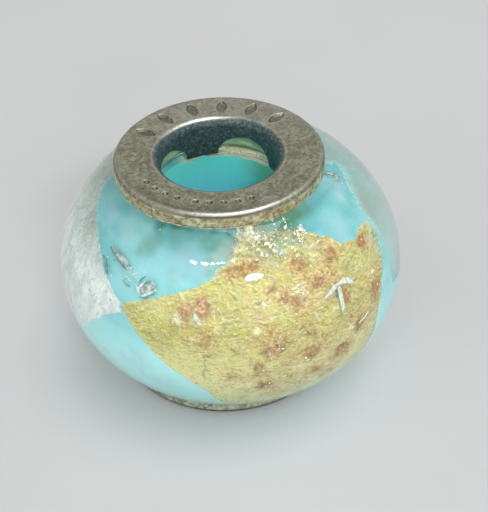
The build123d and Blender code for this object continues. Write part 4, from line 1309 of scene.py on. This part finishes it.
def grommet_points(marked):
    """Rings of a grommet's skin as their radius and their depth below the face, from the tube's inner end
    over the flange's face to the tube's outer end. Also says for each point how much wear and painted
    highlight brighten it, how deep in painted shade it lies and how black it is with oxide and painted
    shadow."""
    around = np.arange(grommet_columns) * 2 * math.pi / grommet_columns
    turns = np.degrees(around) + 90
    off = np.abs((around - arch_middle + quarter / 2) % quarter - quarter / 2) / arch_half
    arch = tube_depth - (tube_depth - collar_end) * np.sqrt(np.clip(1 - off**2, 0, 1))
    tube_end = np.where(off < 1, arch, tube_depth)
    rows = []

    def add(radius, depth, wear_and_highlight=0.0, shade=0.0, oxide_and_shadow=0.0):
        rows.append([value + 0 * around for value in (radius, depth, wear_and_highlight, shade, oxide_and_shadow)])

    # The tube's wall lies in painted shade
    for share in np.linspace(1, 0, bore_wall_rows):
        add(bore_radius, inner_edge + (tube_end - inner_edge) * share, shade=1.0)
    # A painted highlight on the inner rounding, strongest at the far left, with painted shade towards the
    # tube
    far_left = 0.10 + 0.90 * about(turns, -159, 34)
    for step in range(1, inner_edge_steps):
        bend = math.radians(90) * step / inner_edge_steps
        bright = np.maximum(peak(step, 12.2, 3.8) * far_left, 0.5 * peak(step, 14.6, 1.3))
        shade = np.clip((13.5 - step) / 2, 0, 1) * (1 - np.clip(1.6 * bright, 0, 1))
        add(bore_radius + inner_edge * (1 - math.cos(bend)), inner_edge * (1 - math.sin(bend)), bright, shade)
    # front and far_side say where painted highlights and painted shade fall
    front = 0.30 + 0.70 * about(turns, 3, 27)
    far_side = 0.2 * about(turns, 180, 62)
    face_start, face_end = bore_radius + inner_edge, flange_radius - outer_edge
    for share in np.linspace(0, 1, face_rows):
        radius = face_start + (face_end - face_start) * share
        room = mark_room(radius * np.cos(around), radius * np.sin(around)) if marked else no_mark + 0 * around
        deep = np.clip(room / mark_slope, 0, 1)
        deep = deep * deep * (3 - 2 * deep)
        burr = np.exp(-((room + 0.03 * MM) / (0.025 * MM)) ** 2)
        # rim, far_side and the burrs are wear and painted highlight; front_rim_shade is painted shade
        rim = 0.25 * front * max(0.0, (share - 0.94) / 0.06)
        front_rim_shade = 0.32 * about(turns, -20, 45) * np.clip((share - 0.55) / 0.35, 0, 1)
        add(radius, mark_depth * deep - 0.012 * MM * burr,
            wear_and_highlight=np.maximum.reduce([rim, 0.3 * burr, far_side]),
            oxide_and_shadow=np.maximum.reduce([4 * deep * (1 - deep), 0.45 * deep, front_rim_shade]))
    # The outer rounding: a painted highlight at the front, with a painted shade band below it
    for step in range(1, outer_edge_steps + 1):
        bend = math.radians(90) * step / outer_edge_steps
        add(face_end + outer_edge * math.sin(bend), outer_edge * (1 - math.cos(bend)),
            wear_and_highlight=peak(step, 3, 2.4) * front, oxide_and_shadow=peak(step, 6.2, 2.0) * front)
    # A painted contact shadow low on the side, where the flange meets the glass
    for share, oxide_and_shadow in ((0.25, 0.0), (0.5, 0.0), (0.75, 0.0), (0.86, 0.0), (0.93, 0.8)):
        add(flange_radius, outer_edge + (flange_thickness - outer_edge) * share, oxide_and_shadow=oxide_and_shadow)
    # Painted shade and shadow where the side meets the underside's bevel
    add(flange_radius - under_edge, flange_thickness, shade=0.3, oxide_and_shadow=0.9)
    for share in (0.3, 0.6, 0.9):
        add(flange_radius + (tube_radius - flange_radius) * share, flange_thickness)
    # Painted shade on the tube's outside
    tube_start = flange_thickness + 0.02 * MM
    for share in np.linspace(0, 1, tube_rows):
        add(tube_radius, tube_start + (tube_end - tube_start) * share, shade=0.9)
    return around, [np.array(column) for column in zip(*rows)]


def tarnish_group():
    """Fine pits, clouds and scratches of old silver."""
    tree, given = new_group("silver tarnish", "ShaderNodeTree", ("Place", "NodeSocketVector"), Pit_Scale=7.0)
    place = given["Place"]
    inputs = {"Vector": place, "Scale": given["Pit Scale"], "Detail": 5.0, "Roughness": 0.6}
    drawn_out = vector_of(tree, "MULTIPLY", place, (1.0, 9.0, 9.0))
    return put_out(tree, {
        "Pits": node(tree, "ShaderNodeTexNoise", inputs).outputs["Fac"],
        "Clouds": noise_of(tree, 1.7, 6.0, 0.7, place=place),
        "Scratches": noise_of(tree, 2.2, 3.0, 0.5, place=drawn_out),
    })


silver_tarnish = tarnish_group()


def silver_material(name, light, dark, brown, brown_share, pit_scale):
    """Tarnished silver, from its light and dark tones and how brown its clouds are."""
    material, tree = new_material(name)
    tarnish = node(tree, "ShaderNodeGroup", {"Place": millimetres(tree), "Pit Scale": pit_scale},
                   node_tree=silver_tarnish).outputs
    pits, clouds = tarnish["Pits"], tarnish["Clouds"]
    wear_and_highlight, shade = attribute(tree, "wear_and_highlight"), attribute(tree, "shade")
    specks = math_of(tree, "MULTIPLY", rising(tree, pits, 0.56, 0.68), shade)
    # Wear and painted highlights lighten it, painted shade darkens the tube, oxide and painted shadow blacken
    colour = layered(tree, ramp(tree, pits, (0.36, 0.60), (dark, light)),
                     (brown, rising(tree, clouds, 0.46, 0.62), brown_share),
                     (light, rising(tree, clouds, 0.46, 0.34), 0.5),
                     (worn_and_highlit_silver, wear_and_highlight, 0.85),
                     (ramp(tree, pits, (0.40, 0.60), shade_tones), shade, 0.95),
                     (oxide_and_shadow_black, attribute(tree, "oxide_and_shadow"), 0.9),
                     (shade_speck, specks, 0.22))
    rough = math_of(tree, "MULTIPLY_ADD", pits, 0.25, 0.36)
    rough = math_of(tree, "MULTIPLY_ADD", wear_and_highlight, -0.18, rough)
    rough = math_of(tree, "MULTIPLY_ADD", shade, 0.05, rough)
    pitted = math_of(tree, "MULTIPLY_ADD", tarnish["Scratches"], 0.3, pits)
    set_shader(tree, Base_Color=colour, Roughness=rough, Normal=bumped(tree, pitted, 0.35, 0.03),
               Metallic=math_of(tree, "MULTIPLY_ADD", shade, -0.6, 0.9))
    return material


face_silver = silver_material("tarnished silver", light=(0.40, 0.40, 0.29), dark=(0.19, 0.185, 0.125),
                              brown=(0.21, 0.18, 0.10), brown_share=0.5, pit_scale=8.0)
side_silver = silver_material("brown silver", light=(0.72, 0.70, 0.50), dark=(0.22, 0.17, 0.08),
                              brown=(0.40, 0.31, 0.14), brown_share=0.5, pit_scale=4.5)
pale_silver = silver_material("pale silver", light=(0.70, 0.70, 0.54), dark=(0.20, 0.22, 0.16),
                              brown=(0.30, 0.32, 0.22), brown_share=0.4, pit_scale=6.0)
paste, paste_tree = new_material("green paste")
set_shader(paste_tree, Roughness=0.6, Specular_IOR_Level=0.3,
           Base_Color=ramp(paste_tree, noise_of(paste_tree, 3.0, 4.0), (0.36, 0.60), paste_tones))


def collar(name, marked, face_height, down, side):
    """A grommet with its face at a height, its tube going up or down from there, and its side's finish.
    Green paste covers its underside and the tube's outside."""
    around, (radius, depth, wears_and_highlights, shades, oxides_and_shadows) = grommet_points(marked)
    points = np.stack([radius * np.cos(around), radius * np.sin(around), face_height + down * depth], -1)
    outer = (radius.min(1) > bore_radius + 0.9 * tube_wall) & (depth.min(1) > 0.8 * outer_edge)
    beneath = outer & (depth.min(1) > 0.99 * flange_thickness)
    slots = np.repeat(outer.astype(int) + beneath, grommet_columns)
    faces = ring_faces(len(points), grommet_columns)
    piece = mesh_piece(name, points.reshape(-1, 3), faces, [face_silver, side, paste], slots)
    for label, values in (("wear_and_highlight", wears_and_highlights), ("shade", shades), ("oxide_and_shadow", oxides_and_shadows)):
        write_values(piece, label, values.ravel())
    point_outwards(piece)
    return piece


upper_collar = collar("upper_collar", True, flange_high.z, -1, side_silver)
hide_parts("upper_grommet")
lower_collar = collar("lower_collar", False, Vector(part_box("lower_grommet")[0]).z, 1, pale_silver)
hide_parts("lower_grommet")

# Glue
# Green glue fills the gap between the upper tube and the glass and shows through the arches. Pale glue
# squeezed out under the upper flange's edge when it was pressed on, and dried to an uneven crust.
under_flange = flange_high.z - flange_thickness
glue_columns = 360
neck_rows = 8
neck_depth = 0.80 * MM
neck_inner = tube_radius + 0.012 * MM
neck_outer = tube_radius + 0.038 * MM
crust_corners = 8
crust_radius = flange_radius - 0.10 * MM
crust_height = under_flange - 0.03 * MM
crust_thickness = 0.075 * MM  # half of it
crust_seed = Vector((2, 0, 0))
neck_tones = ((0.22, 0.42, 0.22), (0.46, 0.66, 0.42))
neck_edge = (0.62, 0.72, 0.50)
crust_tones = ((0.28, 0.20, 0.09), (0.52, 0.50, 0.34), (0.74, 0.78, 0.66))


def glue_piece(name, section, material):
    """A closed ring of glue about the bore. section gives its corners on a way out, as radius and height."""
    points = []
    for column in range(glue_columns):
        angle = column * 2 * math.pi / glue_columns
        way = Vector((math.cos(angle), math.sin(angle), 0))
        corners = section(way)
        points += [(way.x * radius, way.y * radius, height) for radius, height in corners]
    piece = mesh_piece(name, points, ring_faces(glue_columns, len(corners)), [material])
    point_outwards(piece)


def neck_section(way):
    """The tube's outside and back up the glass, down to an uneven edge."""
    drop = neck_depth * (1 + 0.12 * noise.noise(way * 7))
    heights = [under_flange - drop * step / (neck_rows - 1) for step in range(neck_rows)]
    return [(neck_inner, height) for height in heights] + [(neck_outer, height) for height in heights[::-1]]


def crust_section(way):
    """A round lump that swells and thins out along the flange's edge."""
    swell = 1 + 0.5 * (noise.noise(way * 9 + crust_seed) + 0.6 * noise.noise(way * 30))
    bends = [corner * 2 * math.pi / crust_corners for corner in range(crust_corners)]
    return [(crust_radius + crust_thickness * swell * math.cos(bend),
             crust_height + crust_thickness * swell * math.sin(bend)) for bend in bends]


neck_paste, neck_tree = new_material("green neck glue")
neck_grain = noise_of(neck_tree, 2.2, 4.0, 0.4, (1.0, 1.0, 2.5))
neck_colour = layered(neck_tree, ramp(neck_tree, neck_grain, (0.36, 0.62), neck_tones),
                      (neck_edge, rising(neck_tree, height_of(neck_tree), 4.0, 3.62), 0.6))
set_shader(neck_tree, Roughness=0.4, Specular_IOR_Level=0.4, Base_Color=neck_colour)
crust, crust_tree = new_material("dried glue")
crust_grain = noise_of(crust_tree, 5.0, 4.0, 0.4)
set_shader(crust_tree, Roughness=0.5, Specular_IOR_Level=0.3,
           Normal=bumped(crust_tree, crust_grain, 0.6, 0.03),
           Base_Color=ramp(crust_tree, crust_grain, (0.34, 0.5, 0.66), crust_tones))
glue_piece("neck_glue", neck_section, neck_paste)
glue_piece("upper_glue", crust_section, crust)

# Floor, light and camera
# A plain pale floor under a pale sky, a softbox overhead that lights the silver's rounded edges, a small
# one before the bead that makes its main glint, and a row of small lamps whose glints stand in a line on
# the glass.
floor_tones = ((0.50, 0.50, 0.495), (0.54, 0.54, 0.535))
sky_colour = (0.96, 0.98, 1.0, 1)
row_lamps = ((-36.7, 7), (-26.6, 8), (-18.2, 4), (-12.9, 3), (-8.6, 4), (2.5, 3.5))  # turn, share of a width
row_elevation = 50.8  # degrees, at the row's start
row_start = -40.4
row_slope = 0.128  # degrees up for each degree to the right
row_distance = 0.35
row_lamp_width = 0.0034
row_lamp_height = 0.010
row_lamp_power = 0.0034
floor_size = 3.0

bpy.ops.mesh.primitive_plane_add(size=floor_size)
floor = bpy.context.object
floor.name = "floor"
floor_material, floor_tree = new_material("pale floor")
set_shader(floor_tree, Roughness=0.75,
           Base_Color=ramp(floor_tree, noise_of(floor_tree, 0.05, 4.0), (0.3, 0.7), floor_tones))
floor.data.materials.append(floor_material)

scene = bpy.context.scene
scene.world = bpy.data.worlds.new("pale sky")
scene.world.use_nodes = True
sky_tree = scene.world.node_tree
_, direction_y, direction_z = node(sky_tree, "ShaderNodeSeparateXYZ",
                                   {0: node(sky_tree, "ShaderNodeTexCoord").outputs["Generated"]}).outputs
to_front = rising(sky_tree, math_of(sky_tree, "MULTIPLY", direction_y, -1.0), -0.6, 0.9)
glow = math_of(sky_tree, "MULTIPLY", to_front, rising(sky_tree, direction_z, 0.85, 0.0))
sky = sky_tree.nodes["Background"].inputs
sky["Color"].default_value = sky_colour
sky_tree.links.new(math_of(sky_tree, "MULTIPLY_ADD", glow, 1.5, 0.5), sky["Strength"])

bead_middle = Vector((0, 0, core_centre.z))


def lamp(name, turn, elevation, distance, width, height, power, colour=(1, 1, 1), shape="RECTANGLE"):
    """A flat light that looks at the bead. turn is in degrees from the camera's side to the right."""
    light = bpy.data.lights.new(name, "AREA")
    light.shape = shape
    light.size, light.size_y = width, height
    light.energy = power
    light.color = colour
    piece = new_piece(name, light)
    turned, raised = math.radians(turn), math.radians(elevation)
    level = math.cos(raised)
    away = Vector((math.sin(turned) * level, -math.cos(turned) * level, math.sin(raised)))
    piece.location = bead_middle + away * distance
    piece.rotation_euler = away.to_track_quat("Z", "Y").to_euler()


lamp("overhead softbox", 90, 78, 0.40, 0.28, 0.24, 0.70, shape="ELLIPSE")
lamp("main softbox", 18.5, 41.6, 0.30, 0.064, 0.026, 0.21, (1.0, 0.96, 0.94), "ELLIPSE")
for number, (turn, share) in enumerate(row_lamps):
    elevation = row_elevation + (turn - row_start) * row_slope
    lamp(f"lamp {number}", turn, elevation, row_distance, row_lamp_width * share, row_lamp_height,
         row_lamp_power * share)

photo_width, photo_height = 488, 512
pixels_per_mm = 24.22
centre_x, centre_y = 223.3, 253.7  # where the bead's middle stands in the photograph, in pixels
camera_elevation = math.radians(37.03)
camera_roll = math.radians(-2.6)
camera_distance = 90 * MM
sensor = 36.0
focal_pixels = pixels_per_mm * camera_distance / MM
camera_data = bpy.data.cameras.new("camera")
camera_data.sensor_width = sensor
camera_data.lens = focal_pixels * sensor / photo_height
camera_data.clip_start = 1 * MM
camera_data.clip_end = 10.0
camera = new_piece("camera", camera_data)
back = Vector((0, -math.cos(camera_elevation), math.sin(camera_elevation)))
right = Vector((1, 0, 0))
up = back.cross(right)
camera_x = right * math.cos(camera_roll) + up * math.sin(camera_roll)
camera_y = -right * math.sin(camera_roll) + up * math.cos(camera_roll)
facing = Matrix((camera_x, camera_y, back)).transposed()
seen = Vector((centre_x - photo_width / 2, photo_height / 2 - centre_y, -focal_pixels))
aim = seen.rotation_difference(Vector((0, 0, -1))).to_matrix()
camera.matrix_world = Matrix.Translation(bead_middle + back * camera_distance) @ (facing @ aim).to_4x4()
scene.camera = camera

scene.view_settings.view_transform = "Standard"
scene.cycles.caustics_reflective = False
scene.cycles.caustics_refractive = False
scene.cycles.max_bounces = 16
scene.cycles.transmission_bounces = 12
scene.cycles.transparent_max_bounces = 16
